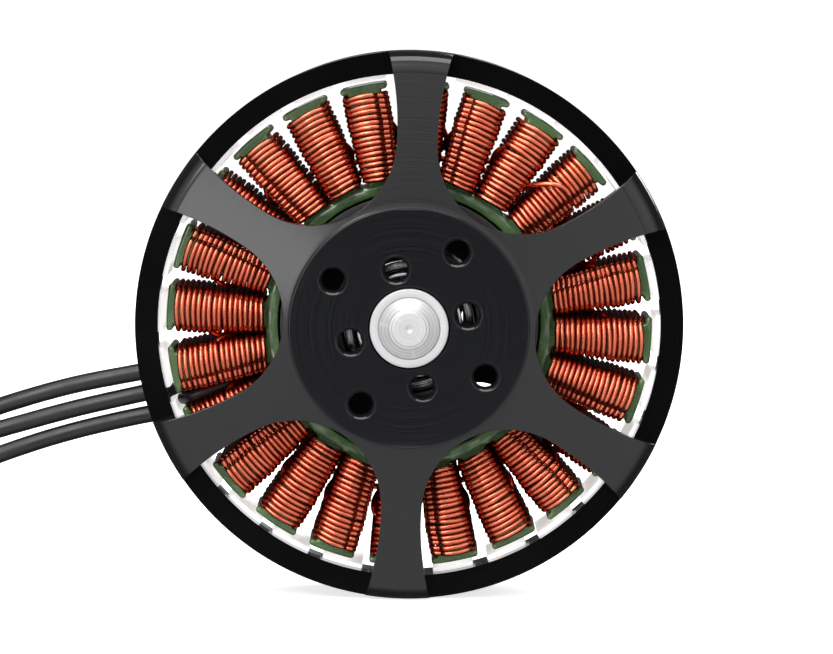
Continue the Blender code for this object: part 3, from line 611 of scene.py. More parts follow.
def smooth_route(points, length, step):
    """Evenly spaced points on a smooth curve, cut to length, none below the floor."""
    dense = smooth_path([Vector(point) for point in points], CURVE_PARTS)
    count = round(length / step)
    wanted = [length * index / count for index in range(count + 1)]
    found = []
    travelled = 0.0
    for start, end in zip(dense, dense[1:]):
        span = (end - start).length
        while len(found) < len(wanted) and wanted[len(found)] <= travelled + span:
            found.append(start.lerp(end, (wanted[len(found)] - travelled) / span))
        travelled += span
    for point in found:
        point.z = max(point.z, FLOOR + LEAD_R)
    return found


def straight_rod(start, direction, profile, steps=40, ripple=0.0):
    """A shell turned about a straight line, from an outline of (radius, distance along it)."""
    along = direction.normalized()
    side = along.orthogonal().normalized()
    up = along.cross(side)
    shell = Shell()
    rows = []
    for radius, distance in profile:
        row = []
        for t in turns(steps):
            wave = 1 + ripple * (sin(3 * t + distance * 0.9) + 0.6 * sin(5 * t - distance * 1.7))
            row.append(start + along * distance + (side * cos(t) + up * sin(t)) * radius * wave)
        rows.append(row)
    shell.grid(rows, closed=True)
    return shell


def sleeve_profile(radius, length, lead_radius):
    """A shrunk sleeve: full in the middle, drawn in to the lead at both ends with a soft lip."""
    profile = [(0, 0.0), (lead_radius * 0.6, 0.0)]
    steps = 36
    for i in range(steps + 1):
        t = i / steps
        ends = min(1.0, min(t, 1 - t) * length / 1.1)
        wall = radius * (0.93 + 0.07 * sqrt(max(0.0, 1 - (1 - ends) ** 2)))
        profile.append((wall * (1 - 0.012 * sin(t * 21)), t * length))
    return profile + [(lead_radius * 0.6, length), (0, length)]


def bullet(name, start, direction, replaced):
    """Gold bullet connector: ringed collar, then a sprung pin slotted into four leaves."""
    collar = [(0, 0), (2.0, 0), (2.2, 0.2), (2.2, 0.55), (2.08, 0.65), (2.08, 0.85), (2.2, 0.95),
              (2.2, 1.3), (2.0, 1.5), (1.6, 1.5), (1.6, 2.4), (0, 2.4)]
    shell = straight_rod(start, direction, collar, 48)
    along = direction.normalized()
    side = along.orthogonal().normalized()
    up = along.cross(side)
    pin = [(1.75, 2.0), (1.8, 2.8), (1.92, 4.2), (1.98, 5.4), (2.0, 6.2), (1.96, 7.4), (1.86, 8.8),
           (1.76, 10.2), (1.72, 10.9), (1.5, 11.5), (1.15, 11.9), (0.9, 12.0)]
    leaves, gap, bore = 4, 0.16, 0.45
    across = [i / 6 - 1 for i in range(13)]
    for leaf in range(leaves):
        rows = []
        for radius, distance in pin:
            half = tau / leaves / 2 - gap / radius
            row = []
            for shares, size in ((across, 1), (reversed(across), bore)):
                for share in shares:
                    t = tau * leaf / leaves + half * share
                    row.append(start + along * distance + (side * cos(t) + up * sin(t)) * radius * size)
            rows.append(row)
        shell.grid(rows, closed=True)
        for row in (rows[0], rows[-1]):
            shell.flat([row])
    return shell.piece(name, LOOKS["gold"], "stator", [replaced], "connector_gold", row_frame)


def lead(number):
    """One lead from its joint sleeve to its bullet connector."""
    points = smooth_route(LEAD_ROUTES[number], LEAD_LENGTH, LEAD_STEP)
    curve = bpy.data.curves.new(f"lead_wire_{number + 1}", "CURVE")
    curve.dimensions = "3D"
    curve.bevel_depth = LEAD_R * MM
    curve.bevel_resolution = 8
    curve.use_fill_caps = True
    spline = curve.splines.new("POLY")
    spline.points.add(len(points) - 1)
    for point, place in zip(spline.points, points):
        point.co = (*(place * MM), 1)
    spline.use_smooth = True
    curve.materials.append(LOOKS["silicone"])
    tube = bpy.data.objects.new(f"lead_wire_{number + 1}", curve)
    bpy.context.scene.collection.objects.link(tube)
    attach(tube, "stator")
    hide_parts(f"lead_{number + 1}")

    inner = Vector(SLEEVE_STARTS[number])
    run = points[0] - inner
    profile = sleeve_profile(JOINT_SLEEVE_R, run.length - LEAD_GAP / 2, LEAD_R)
    joint = straight_rod(inner, run, profile, 40, 0.004)
    joint.piece(f"joint_shrink_{number + 1}", LOOKS["shrink"], "stator",
                [f"lead_joint_sleeve_{number + 1}"], "heat_shrink", row_frame)
    heading = (points[-1] - points[-2]).normalized()
    start = points[-1] + heading * 0.02
    profile = sleeve_profile(END_SLEEVE_R, END_SLEEVE_LENGTH + LEAD_GAP, LEAD_R)
    end = straight_rod(start, heading, profile, 40, 0.004)
    sleeve = end.piece(f"end_shrink_{number + 1}", LOOKS["shrink"], "stator",
                       [f"lead_end_sleeve_{number + 1}"], "heat_shrink", row_frame)
    start = points[-1] + heading * (END_SLEEVE_LENGTH + 2 * LEAD_GAP)
    plug = bullet(f"bullet_{number + 1}", start, heading, f"bullet_connector_{number + 1}")


camera()
surroundings()
floor()
for number in range(len(LEAD_ROUTES)):
    lead(number)


# ---------------------------------------------------------------- bell

RIM_INNER_R = 42.15
HUB_R = 20.0
HUB_FLOOR = 34.0
SPOKE_ROOT_FRONT = 38.0
SPOKE_END_FRONT = 35.0
SPOKE_THICKNESS = 3.6
SPOKE_TILT_DEG = 7.6
SHOULDER_R = 3.5
BOSS_R = 7.5
SPOKES = 6
FIRST_WINDOW_DEG = 57.5
WINDOW_END_R = 14.2
WINDOW_END_AT = 35.2
WINDOW_SIDE_R = 49.0
WINDOW_SIDE_FROM_DEG = 58.0
HUB_HOLE_R = 2.1
HUB_HOLE_MOUTH_R = 2.55
HOLE_CIRCLES = ((15.0, 57.6), (10.0, 12.7))
HOLES_PER_CIRCLE = 4
FLANGE_R = 6.55
SHAFT_R = 5.0
FLANGE_REAR = 36.8
FRONT_BEARING_REAR = 24.5
BEARING_WIDTH = 6.0
GAP = 0.3

EDGE = 0.10  # how far the bell's sharp edges are broken
END_ROWS = 26
SIDE_ROWS = 14
SHOULDER_ROWS = 10
SPOKE_COLUMNS = 24
RIM_COLUMNS = 40
SHOULDER_AT = OUTER_R - SHOULDER_R
SPOKE_SLOPE = (SPOKE_ROOT_FRONT - SPOKE_END_FRONT) / (SHOULDER_AT - HUB_R)


def spoke_rows():
    """(radius or None, front height or None) of each row past the window's round end."""
    radii = list(np.linspace(31.0, RIM_INNER_R, SIDE_ROWS)) + [SHOULDER_AT]
    rows = [(radius, SPOKE_ROOT_FRONT - SPOKE_SLOPE * (radius - HUB_R)) for radius in radii]
    for step in range(1, SHOULDER_ROWS + 1):
        t = pi / 2 * step / SHOULDER_ROWS
        rows.append((SHOULDER_AT + SHOULDER_R * sin(t), SPOKE_END_FRONT - SHOULDER_R * (1 - cos(t))))
    return rows


def window_edge(offset):
    """(radius, half angle, front height) down one side of a window whose edge is moved into the metal."""
    shift = WINDOW_SIDE_R - WINDOW_END_R
    centre = complex(WINDOW_END_AT + shift * cos(radians(WINDOW_SIDE_FROM_DEG)),
                     -shift * sin(radians(WINDOW_SIDE_FROM_DEG)))
    made = []
    for step in range(END_ROWS + 1):
        t = radians(WINDOW_SIDE_FROM_DEG * step / END_ROWS)
        across = WINDOW_END_AT - (WINDOW_END_R + offset) * cos(t)
        along = (WINDOW_END_R + offset) * sin(t)
        radius = hypot(across, along)
        made.append((radius, atan2(along, across), SPOKE_ROOT_FRONT - SPOKE_SLOPE * (radius - HUB_R)))
    reach = abs(centre)
    bearing = atan2(centre.imag, centre.real)
    for radius, height in spoke_rows():
        share = 1 - max(0.0, (radius - SHOULDER_AT) / SHOULDER_R) ** 3
        cosine = (radius**2 + reach**2 - (WINDOW_SIDE_R + offset * share) ** 2) / (2 * radius * reach)
        made.append((radius, bearing + acos(cosine), height))
    return made


def underside(radius):
    share = (RIM_INNER_R - radius) / (RIM_INNER_R - HUB_R)
    front = SPOKE_END_FRONT - SPOKE_THICKNESS
    return front + share * (SPOKE_ROOT_FRONT - SPOKE_END_FRONT)


def sink(row, depth):
    """A point's (radius, height) moved into the metal, square to the spoke's front."""
    radius, height = row[0], row[2]
    tilt = radians(SPOKE_TILT_DEG)
    if radius > SHOULDER_AT:
        lean = (radius - SHOULDER_AT) / SHOULDER_R
        tilt = max(tilt, np.arcsin(min(1.0, lean)))
        depth *= 1 - lean**3
    return radius - depth * sin(tilt), height - depth * cos(tilt)


def spoke(shell, middle):
    """One spoke from the hub to the rim, with broken edges along its sides."""
    half_sector = pi / SPOKES
    top = window_edge(EDGE)
    between = window_edge(EDGE * 0.3)
    wall = window_edge(0.0)
    columns = np.linspace(-1, 1, SPOKE_COLUMNS + 1)
    shell.grid([[polar(r, middle + s * (half_sector - a), z) for s in columns] for r, a, z in top])
    for side in (-1, 1):
        strips = [[], [], []]
        for upper, middle_row, lower in zip(top, between, wall):
            strips[0].append(polar(upper[0], middle + side * (half_sector - upper[1]), upper[2]))
            radius, height = sink(middle_row, EDGE * 0.3)
            strips[1].append(polar(radius, middle + side * (half_sector - middle_row[1]), height))
            radius, height = sink(lower, EDGE)
            strips[2].append(polar(radius, middle + side * (half_sector - lower[1]), height))
        shell.grid(strips)
        inner = [row for row in wall if row[0] <= RIM_INNER_R + 1e-6]
        outer = [row for row in wall if row[0] >= RIM_INNER_R - 1e-6]
        for rows, foot in ((inner, underside), (outer, lip)):
            levels = [[], [], [], []]
            for row in rows:
                radius, height = sink(row, EDGE)
                angle = middle + side * (half_sector - row[1])
                low = foot(row[0])
                for level, points in enumerate(levels):
                    share = level / (len(levels) - 1)
                    out = radius + (row[0] - radius) * share
                    points.append(polar(out, angle, height + (low - height) * share))
            shell.grid(levels)
        shell.grid([[polar(row[0], middle + side * (half_sector - row[1]), low(row[0])) for row in outer]
                    for low in (lip, lambda radius: RIM_FRONT)])
    bottom = [row for row in wall if row[0] <= RIM_INNER_R + 1e-6]
    shell.grid([[polar(r, middle + s * (half_sector - a), underside(r)) for s in columns]
                for r, a, _ in bottom])
    inner_end = bottom[-1]
    outer_end = wall[-1]
    for (r, a, _), heights in ((inner_end, (underside(RIM_INNER_R), RIM_FRONT, RIM_REAR)),
                               (outer_end, (outer_end[2], RIM_FRONT, RIM_REAR))):
        shell.grid([[polar(r, middle + s * (half_sector - a), z) for s in columns] for z in heights])
    shell.grid([[polar(r, middle + s * (half_sector - a), RIM_REAR) for s in columns]
                for r, a, _ in (inner_end, outer_end)])


def lip(radius):
    """Where a spoke's side wall meets the rim: the height of its lowest level line but one."""
    share = (radius - RIM_INNER_R) / (OUTER_R - RIM_INNER_R)
    start = underside(RIM_INNER_R)
    return start + (RIM_FRONT + 0.25 - start) * share


def rim_span(shell, middle):
    """The rim across one window, its front edges broken except where they run into the spokes."""
    rows = [row for row in window_edge(0.0) if row[0] >= RIM_INNER_R - 1e-6]
    columns = np.linspace(-1, 1, RIM_COLUMNS + 1)

    def easing(s):
        return min(1.0, (1 - abs(s)) * 8)

    def at(row, s, radius=None, height=RIM_FRONT):
        return polar(row[0] if radius is None else radius, middle + s * row[1], height)

    inner, outer = rows[0], rows[-1]
    grid = [[at(inner, s, height=RIM_REAR) for s in columns]]
    grid.append([at(inner, s, height=RIM_FRONT - EDGE * easing(s)) for s in columns])
    for row in rows:
        line = []
        for s in columns:
            radius = min(max(row[0], RIM_INNER_R + EDGE * easing(s)), OUTER_R - EDGE * easing(s))
            line.append(at(row, s, radius))
        grid.append(line)
    grid.append([at(outer, s, height=RIM_FRONT - EDGE * easing(s)) for s in columns])
    grid.append([at(outer, s, height=RIM_REAR) for s in columns])
    grid.append(grid[0])
    shell.grid(grid)


def hub(shell, first):
    """Hub disc with its holes and the flange's counterbore, joined to the spokes' inner ends."""
    count = SPOKES * SPOKE_COLUMNS
    start = HUB_R + 1.0 - EDGE
    seat = FLANGE_R + GAP

    def ring(radius, height):
        return [polar(radius, t, height) for t in turns(count, first)]

    skirt = [
        (start, SPOKE_ROOT_FRONT - SPOKE_SLOPE * (start - HUB_R)),
        (HUB_R + 0.35, SPOKE_ROOT_FRONT - 0.04),
        (HUB_R + 0.10, SPOKE_ROOT_FRONT + 0.03),
        (HUB_R, SPOKE_ROOT_FRONT + 0.2),
        (HUB_R, HUB_FRONT - 0.2),
        (HUB_R - 0.05, HUB_FRONT - 0.05),
        (HUB_R - 0.2, HUB_FRONT),
    ]
    shell.grid([ring(*row) for row in skirt], closed=True)
    bore = [
        (seat + 0.2, HUB_FRONT),
        (seat, HUB_FRONT - 0.2),
        (seat, FLANGE_REAR - GAP),
        (SHAFT_R + GAP, FLANGE_REAR - GAP),
        (SHAFT_R + GAP, FRONT_BEARING_REAR + BEARING_WIDTH + GAP),
        (BOSS_R, FRONT_BEARING_REAR + BEARING_WIDTH + GAP),
        (BOSS_R, HUB_FLOOR - 0.8),
        (BOSS_R + 0.8, HUB_FLOOR),
    ]
    shell.grid([ring(*row) for row in bore], closed=True)
    rear = [(HUB_R - 0.4, HUB_FLOOR), (HUB_R, underside(HUB_R)), (HUB_R + 1.0, underside(HUB_R + 1.0))]
    shell.grid([ring(*row) for row in rear], closed=True)
    front_loops = [ring(HUB_R - 0.2, HUB_FRONT), ring(seat + 0.2, HUB_FRONT)]
    rear_loops = [ring(HUB_R - 0.4, HUB_FLOOR), ring(BOSS_R + 0.8, HUB_FLOOR)]
    hole = [
        (HUB_HOLE_MOUTH_R, HUB_FRONT),
        (HUB_HOLE_MOUTH_R - 0.06, HUB_FRONT - 0.03),
        (HUB_HOLE_R + 0.06, HUB_FRONT - 0.31),
        (HUB_HOLE_R, HUB_FRONT - 0.4),
    ]
    depth = HUB_FRONT - 0.7
    while depth > HUB_FLOOR + 0.7:
        hole += [(HUB_HOLE_R, depth), (HUB_HOLE_R - 0.16, depth - 0.2), (HUB_HOLE_R, depth - 0.4)]
        depth -= 0.7
    hole.append((HUB_HOLE_R, HUB_FLOOR))
    for circle, start_deg in HOLE_CIRCLES:
        for number in range(HOLES_PER_CIRCLE):
            x, y, _ = polar(circle, radians(start_deg) + tau * number / HOLES_PER_CIRCLE)
            rows = [[(x + r * cos(t), y + r * sin(t), z) for t in turns(40)] for r, z in hole]
            shell.grid(rows, closed=True)
            front_loops.append(rows[0])
            rear_loops.append(rows[-1])
    shell.flat(front_loops)
    shell.flat(rear_loops)


def bell():
    shell = Shell()
    first = radians(FIRST_WINDOW_DEG)
    hub(shell, first)
    for number in range(SPOKES):
        middle = first + tau * number / SPOKES
        rim_span(shell, middle)
        spoke(shell, middle + pi / SPOKES)
    shell.piece("bell", LOOKS["bell"], "rotor", ["rotor_bell"], "bell_anodised", sharp=20)


bell()


# ---------------------------------------------------------------- rotor: flux ring, magnets, shaft

FLUX_INNER_R = 43.75
FLUX_REAR = 6.5
MAGNETS = 28
FIRST_MAGNET_DEG = 228.7
MAGNET_WIDTH = 6.8
MAGNET_FACE_R = 41.45
MAGNET_BACK_R = 43.3
MAGNET_REAR = 8.0


def flux_ring():
    front = RIM_REAR - GAP
    profile = [(FLUX_INNER_R, front), (OUTER_R - 0.1, front), (OUTER_R - 0.1, front - 0.6),
               (OUTER_R, front - 0.8), (OUTER_R, FLUX_REAR + 0.5), (OUTER_R - 0.5, FLUX_REAR),
               (FLUX_INNER_R, FLUX_REAR)]
    ring = turned(rounded(profile, 0.12), 256)
    ring.piece("flux_tube", LOOKS["flux"], "rotor", ["flux_ring"], "flux_steel")


def magnets():
    half = (MAGNET_BACK_R - MAGNET_FACE_R) / 2
    middle = MAGNET_FACE_R + half
    corners = [(-half, -MAGNET_WIDTH / 2), (half, -MAGNET_WIDTH / 2), (half, MAGNET_WIDTH / 2),
               (-half, MAGNET_WIDTH / 2)]
    outline = rounded(corners, 0.3, 4)
    block = slab([outline], MAGNET_REAR, RIM_REAR - GAP, 0.18)
    for number in range(MAGNETS):
        angle = radians(FIRST_MAGNET_DEG) + tau * number / MAGNETS
        one = Shell()
        one.faces = block.faces
        one.points = [spun((x + middle, y, z), angle) for x, y, z in block.points]
        name = f"magnet_{number + 1:02d}"
        one.piece(f"plated_{name}", LOOKS["nickel"], "rotor", [name], "magnet_plating")


def shaft():
    profile = [
        (0, NOSE_FRONT - 0.28), (0.32, NOSE_FRONT - 0.2), (0.62, NOSE_FRONT - 0.02), (0.75, NOSE_FRONT),
        (2.62, NOSE_FRONT), (2.85, NOSE_FRONT - 0.05), (2.98, NOSE_FRONT - 0.22), (3.25, NOSE_FRONT - 0.26),
        (3.42, NOSE_FRONT - 0.45), (4.92, 39.62), (5.05, 39.5), (5.05, 39.2), (5.12, 39.02), (5.22, 39.2),
        (6.42, 39.2), (6.55, 39.07), (6.55, FLANGE_REAR), (SHAFT_R, FLANGE_REAR), (SHAFT_R, 2.2), (4.5, 2.2),
        (4.5, 1.0), (SHAFT_R, 1.0), (4.5, SHAFT_REAR), (0.9, SHAFT_REAR), (0, SHAFT_REAR + 0.8),
    ]
    smooth = rounded(profile, 0.06, 2, closed=False)
    solid = turned(smooth, 160, closed=False)
    solid.piece("motor_shaft", LOOKS["shaft"], "rotor", ["shaft"], "shaft_steel", sharp=25)


def shim_and_clip():
    profile = [(SHAFT_R + GAP, 2.7), (6.8, 2.7), (6.8, 2.2), (SHAFT_R + GAP, 2.2)]
    shim = turned(rounded(profile, 0.08), 96)
    shim.piece("thrust_shim", LOOKS["bearing"], "rotor", ["shaft_shim"], "bearing_steel")
    half_open, lug = radians(22), radians(16)
    inner = [polar(4.8, t)[:2] for t in np.linspace(half_open, tau - half_open, 64)]
    outer = [polar(6.4, t)[:2] for t in np.linspace(tau - half_open - lug, half_open + lug, 64)]
    lugs = ([polar(7.6, t)[:2] for t in np.linspace(tau - half_open, tau - half_open - lug, 8)],
            [polar(7.6, t)[:2] for t in np.linspace(half_open + lug, half_open, 8)])
    outline = [(y, -x) for x, y in reversed(inner + lugs[0] + outer + lugs[1])]
    holes = []
    for side in (-1, 1):
        angle = -pi / 2 + side * (half_open + lug / 2)
        centre = polar(6.6, angle)
        holes.append([(centre[0] + 0.45 * cos(t), centre[1] + 0.45 * sin(t)) for t in reversed(turns(20))])
    clip = slab([outline] + holes, 1.3, 1.9, 0.08, 2)
    clip.piece("retaining_clip", LOOKS["spring"], "rotor", ["shaft_circlip"], "spring_steel")


flux_ring()
magnets()
shaft()
shim_and_clip()


# ---------------------------------------------------------------- stator: base, bearings, core

TEETH = 24
FIRST_TOOTH_DEG = 11.0
CORE_BORE_R = 22.1
YOKE_R = 24.2
ROOT_HALF_WIDTH = 2.0
# The neck widens inside the coil, where it stands in for the inner layers of wire.
NECK_WIDENING = ((30.0, 2.4), (34.0, 2.7), (37.5, 2.75))
NECK_END_HALF_WIDTH = 2.75
TIP_R = 41.0
TIP_HALF_WIDTH = 4.0
TIP_END_RADIUS = 0.58
ROOT_FILLET = 0.9
COATING_EDGE = 0.52


def tooth_outline():
    """One tooth's whole outline as (out, across): root fillets, neck and a T-shaped tip with round ends."""
    half_pitch = pi / TEETH
    half = [polar(YOKE_R, half_pitch)[:2], polar(YOKE_R + 0.02, half_pitch * 0.92)[:2]]
    root = YOKE_R + ROOT_FILLET
    for t in np.linspace(0, pi / 2, 6):
        half.append((root - ROOT_FILLET * cos(t), ROOT_HALF_WIDTH + 0.75 * (1 - sin(t))))
    half += NECK_WIDENING
    for t in np.linspace(0, pi / 2, 6):
        half.append((39.25 + 0.4 * sin(t), NECK_END_HALF_WIDTH + 0.25 * (1 - cos(t))))
    end_r = TIP_END_RADIUS
    centre = (sqrt((TIP_R - end_r) ** 2 - (TIP_HALF_WIDTH - end_r) ** 2), TIP_HALF_WIDTH - end_r)
    for t in np.linspace(pi - 0.05, 0.12, 9):
        half.append((centre[0] + end_r * cos(t), centre[1] + end_r * sin(t)))
    for t in np.linspace(TIP_HALF_WIDTH - 0.9, 0.6, 5):
        half.append((sqrt(TIP_R**2 - t**2), t))
    return [(x, -y) for x, y in half] + [(x, y) for x, y in reversed(half[1:])]


def core():
    whole = tooth_outline()
    outline = []
    for tooth in range(TEETH):
        angle = radians(FIRST_TOOTH_DEG) + tau * tooth / TEETH
        outline += [spun((x, y, 0.0), angle)[:2] for x, y in whole]
    bore = [polar(CORE_BORE_R, t)[:2] for t in reversed(turns(144))]
    shell = slab([outline, bore], CORE_REAR, CORE_FRONT, COATING_EDGE, 5)
    middle, half = (CORE_BORE_R + YOKE_R) / 2 + 0.05, (YOKE_R - CORE_BORE_R) / 2 - 0.05
    bead = []
    for turn in turns(16):
        swell = 0.30 if sin(turn) > 0 else 0.6
        bead.append([])
        for t in turns(288):
            uneven = 1 + 0.35 * sin(24 * t + 1) + 0.3 * sin(7 * t)
            height = CORE_FRONT - 0.1 + swell * sin(turn) * uneven
            bead[-1].append(polar(middle + half * cos(turn), t, height))
    shell.grid(bead + bead[:1], closed=True)
    shell.piece("coated_core", LOOKS["epoxy"], "stator", ["stator_core"], "core_coating", sharp=60)


BASE_R = 23.6
PLATE_FRONT = 4.5
TUBE_R = 13.2
TUBE_FRONT = 30.5
BEARING_R = 11.0
BALLS = 10
BALL_R = 1.4
BALL_CIRCLE_R = 8.0
CAGE_STEPS = 240
ARMS = 4
FIRST_ARM_DEG = 79.8
# Circle, turn from the arm, radius and depth of each mounting hole and each vent.
BASE_HOLES = ((17.5, 0, 1.65, 6.0), (21.2, pi / 4, 5.8, 5.0))


def base():
    pocket = BEARING_R + GAP
    profile = [
        (pocket, TUBE_FRONT - 0.1), (pocket + 0.6, TUBE_FRONT), (TUBE_R, TUBE_FRONT),
        (TUBE_R, PLATE_FRONT), (20.0, PLATE_FRONT), (20.0, 26.5),
        (21.8, 26.5), (21.8, CORE_REAR - GAP), (BASE_R, CORE_REAR - GAP), (BASE_R, 0.5), (BASE_R - 0.5, 0),
        (pocket + 0.3, 0), (pocket, 0.3), (pocket, 9.3), (9.8, 9.3), (9.8, 24.2), (pocket, 24.2),
    ]
    whole = turned(rounded(profile, 0.2, 2), 192)
    body = whole.piece("mounting_base", LOOKS["base"], "stator", ["stator_base"], "base_anodised")
    cutter = Shell()
    for arm in range(4):
        angle = radians(FIRST_ARM_DEG) + tau * arm / ARMS
        for circle, turn, radius, top in BASE_HOLES:
            x, y, _ = polar(circle, angle + turn)
            mouth = radius + 0.35
            profile = [(0, -1.0), (mouth, -1.0), (mouth, 0.0), (radius, 0.35), (radius, top), (0, top)]
            rows = [[(x + r * cos(t), y + r * sin(t), z) for t in turns(56)] for r, z in profile]
            cutter.grid(rows, closed=True)
    bm = cutter.built()
    mesh = bpy.data.meshes.new("base_cutter")
    bm.to_mesh(mesh)
    bm.free()
    tool = bpy.data.objects.new("base_cutter", mesh)
    bpy.context.scene.collection.objects.link(tool)
    cut = body.modifiers.new("cut", "BOOLEAN")
    cut.operation = "DIFFERENCE"
    cut.object = tool
    bpy.context.view_layer.update()
    graph = bpy.context.evaluated_depsgraph_get()
    solid = bpy.data.meshes.new_from_object(body.evaluated_get(graph))
    body.modifiers.clear()
    body.data = solid
    solid.set_sharp_from_angle(angle=radians(SHARP_DEG))
    bpy.data.objects.remove(tool, do_unlink=True)


def bearing(prefix, rear):
    """Shielded ball bearing: two rings, two shields with a pressed rib, and the balls in their cage."""
    front = rear + BEARING_WIDTH
    middle = (rear + front) / 2
    inner = [(SHAFT_R + GAP, rear), (SHAFT_R + GAP, front), (6.7, front), (6.7, middle + 1.1), (6.42, middle),
             (6.7, middle - 1.1), (6.7, rear)]
    outer = [(BEARING_R, front - 0.15), (BEARING_R, rear), (9.25, rear), (9.25, middle - 1.1),
             (9.58, middle), (9.25, middle + 1.1), (9.25, front - 0.1), (9.9, front),
             (10.35, front - 0.05), (10.7, front - 0.06)]
    for part, profile, body in (("inner_ring", inner, "rotor"), ("outer_ring", outer, "stator")):
        name = f"{prefix}_{part}"
        ring = turned(rounded(profile, 0.28), 128)
        ring.piece(f"fine_{name}", LOOKS["bearing"], body, [name], "bearing_steel")
    for side, low in (("rear", rear + 0.25), ("front", front - 0.65)):
        face, back = (low, low + 0.4) if side == "rear" else (low + 0.4, low)
        up = face - back
        profile = [(6.95, back), (6.95, face), (7.2, face), (7.45, face - up * 0.3), (8.1, face - up * 0.3),
                   (8.3, face + up * 0.2), (8.95, face), (8.95, back)]
        name = f"{prefix}_{side}_shield"
        plate = turned(rounded(profile, 0.12), 128)
        plate.piece(f"fine_{name}", LOOKS["shield"], "stator", [name], "bearing_shield")
    cage_with_balls(prefix, middle)


def cage_with_balls(prefix, middle):
    shell = Shell()
    rows = [[], [], [], []]
    for t in turns(CAGE_STEPS):
        swell = 0.55 * max(0.0, cos(BALLS * t + pi)) ** 0.5
        for row, (r, side) in zip(rows, ((7.75, -1), (8.25, -1), (8.25, 1), (7.75, 1))):
            row.append(polar(r, t, middle + side * (0.35 + swell)))
    shell.grid(rows + rows[:1], closed=True)
    for ball in range(BALLS):
        x, y, _ = polar(BALL_CIRCLE_R, tau * (ball + 0.5) / BALLS)
        rings = []
        for u in np.linspace(0, pi, 17):
            across = BALL_R * sin(u)
            rings.append([(x + across * cos(t), y + across * sin(t), middle + BALL_R * cos(u))
                          for t in turns(28)])
        shell.grid(rings, closed=True)
    name = f"{prefix}_cage"
    body = "front_cage" if prefix == "front_bearing" else "rear_cage"
    shell.piece(f"fine_{name}", LOOKS["cage"], body, [name], "bearing_cage")


core()
base()
bearing("front_bearing", FRONT_BEARING_REAR)
bearing("rear_bearing", 3.0)


# ---------------------------------------------------------------- windings

WIRE_R = 0.42
TURNS_PER_COIL = 17
COIL_FROM_R = 24.85
COIL_TO_R = 39.0
COIL_WIDTHS = ((24.0, 27.0, 30.0, 33.3, 34.3, 39.5), (2.62, 2.95, 3.15, 3.34, 3.50, 3.52))
SHELF_WIDTH = 1.75
SHELF_DROP = 0.6
SHELF_CORNER = 0.55
COIL_FRONT = 30.9
COIL_REAR = 5.3
FIRST_CROSSOVER_R = 26.0
CROSSOVER_PITCH = 2.0
CROSSOVER_R = 0.55
PHASES = "abc"


def coil_side(half_width, low, high, corner, shelf):
    """Points up one side of a coil's cross-section, from the middle of the rear to near the middle of the
    front, as (across, height). A side with a shelf steps down before its front corner."""
    w, c = half_width, corner
    made = [(share * (w - c), low) for share in (0, 0.35, 0.7)]
    made += [(w - c + c * sin(t), low + c * (1 - cos(t))) for t in np.linspace(0, pi / 2, 5)]
    top = high - (SHELF_DROP if shelf else 0)
    curve = SHELF_CORNER if shelf else c
    made += [(w, low + c + (top - curve - low - c) * i / 6) for i in range(1, 6)]
    made += [(w - curve + curve * cos(t), top - curve + curve * sin(t))
             for t in np.linspace(0, pi / 2, 5)]
    flat = w - curve
    if shelf:
        flat = w - SHELF_WIDTH
        made += [(flat + 0.42, top + 0.02), (flat + 0.20, top + 0.20 * SHELF_DROP),
                 (flat - 0.02, high - 0.15), (flat - 0.22, high)]
        flat -= 0.22
    made += [(flat * share, high + 0.22 * (1 - share**2)) for share in (0.78, 0.52, 0.26)]
    return made


def coil_loop(half_width, low, high, corner, shelf):
    """Points once round a coil's cross-section, from the middle of the rear. shelf is its shelf's side."""
    right = coil_side(half_width, low, high, corner, shelf > 0)
    left = coil_side(half_width, low, high, corner, shelf < 0)
    return right + [(-across, height) for across, height in reversed(left[1:])]


def coil_path(tooth):
    """The wire's path round one tooth, as (out, across, height), starting and ending behind it."""
    way = 1 if tooth % 2 else -1
    shelf = way * {0: 1, 2: -1}.get(tooth % 4, 0)
    pitch = (COIL_TO_R - COIL_FROM_R) / (TURNS_PER_COIL - 1)
    loose = rng.uniform(33.0, 35.0)
    path = []
    for turn in range(TURNS_PER_COIL):
        out = COIL_FROM_R + pitch * turn + rng.uniform(-0.06, 0.06)
        share = (out - COIL_FROM_R) / (COIL_TO_R - COIL_FROM_R)
        half = float(np.interp(out, *COIL_WIDTHS)) + rng.uniform(-0.07, 0.07)
        near_loose = max(0.0, 1 - abs(out - loose) / 1.1)
        high = COIL_FRONT - WIRE_R - 0.25 + rng.uniform(-0.09, 0.09) + 0.22 * near_loose
        low = COIL_REAR + WIRE_R + 0.1
        corner = 1.85 + 0.25 * share + rng.uniform(-0.2, 0.2)
        slant = rng.uniform(-0.10, 0.10) + 0.25 * near_loose * rng.choice((-1, 1))
        loop = coil_loop(half, low, high, corner, shelf)
        count = len(loop)
        for index, (across, height) in enumerate(loop):
            done = index / count
            front = max(0.0, (height - 18) / 13)
            bow = -0.42 * share * (across / half) ** 2 * front
            climb = 0.12 * share**5 * max(0.0, front)
            drift = out + pitch * (done - 0.5) + bow + climb + slant * front * across / half
            path.append((drift, way * across, height))
    return path


def slot_wires(shell, tooth):
    """A short bridge of wire that leaves the coil's side and drops into the slot."""
    way = rng.choice((-1, 1))
    out = rng.uniform(32.6, 34.6)
    depth = rng.uniform(3.0, 6.0)
    half = float(np.interp(out, *COIL_WIDTHS))
    points = []
    for t in np.linspace(0, 1, 12):
        bulge = sin(pi * t)
        height = COIL_FRONT - 2.6 - depth * t + 0.4 * bulge
        points.append((out - 4.2 * t, way * (half - 0.2 + 0.85 * bulge), height))
    shell.tube([to_tooth(point, tooth) for point in points], WIRE_R, 8)


def to_tooth(point, tooth):
    return spun(point, radians(FIRST_TOOTH_DEG) + tau * tooth / TEETH)


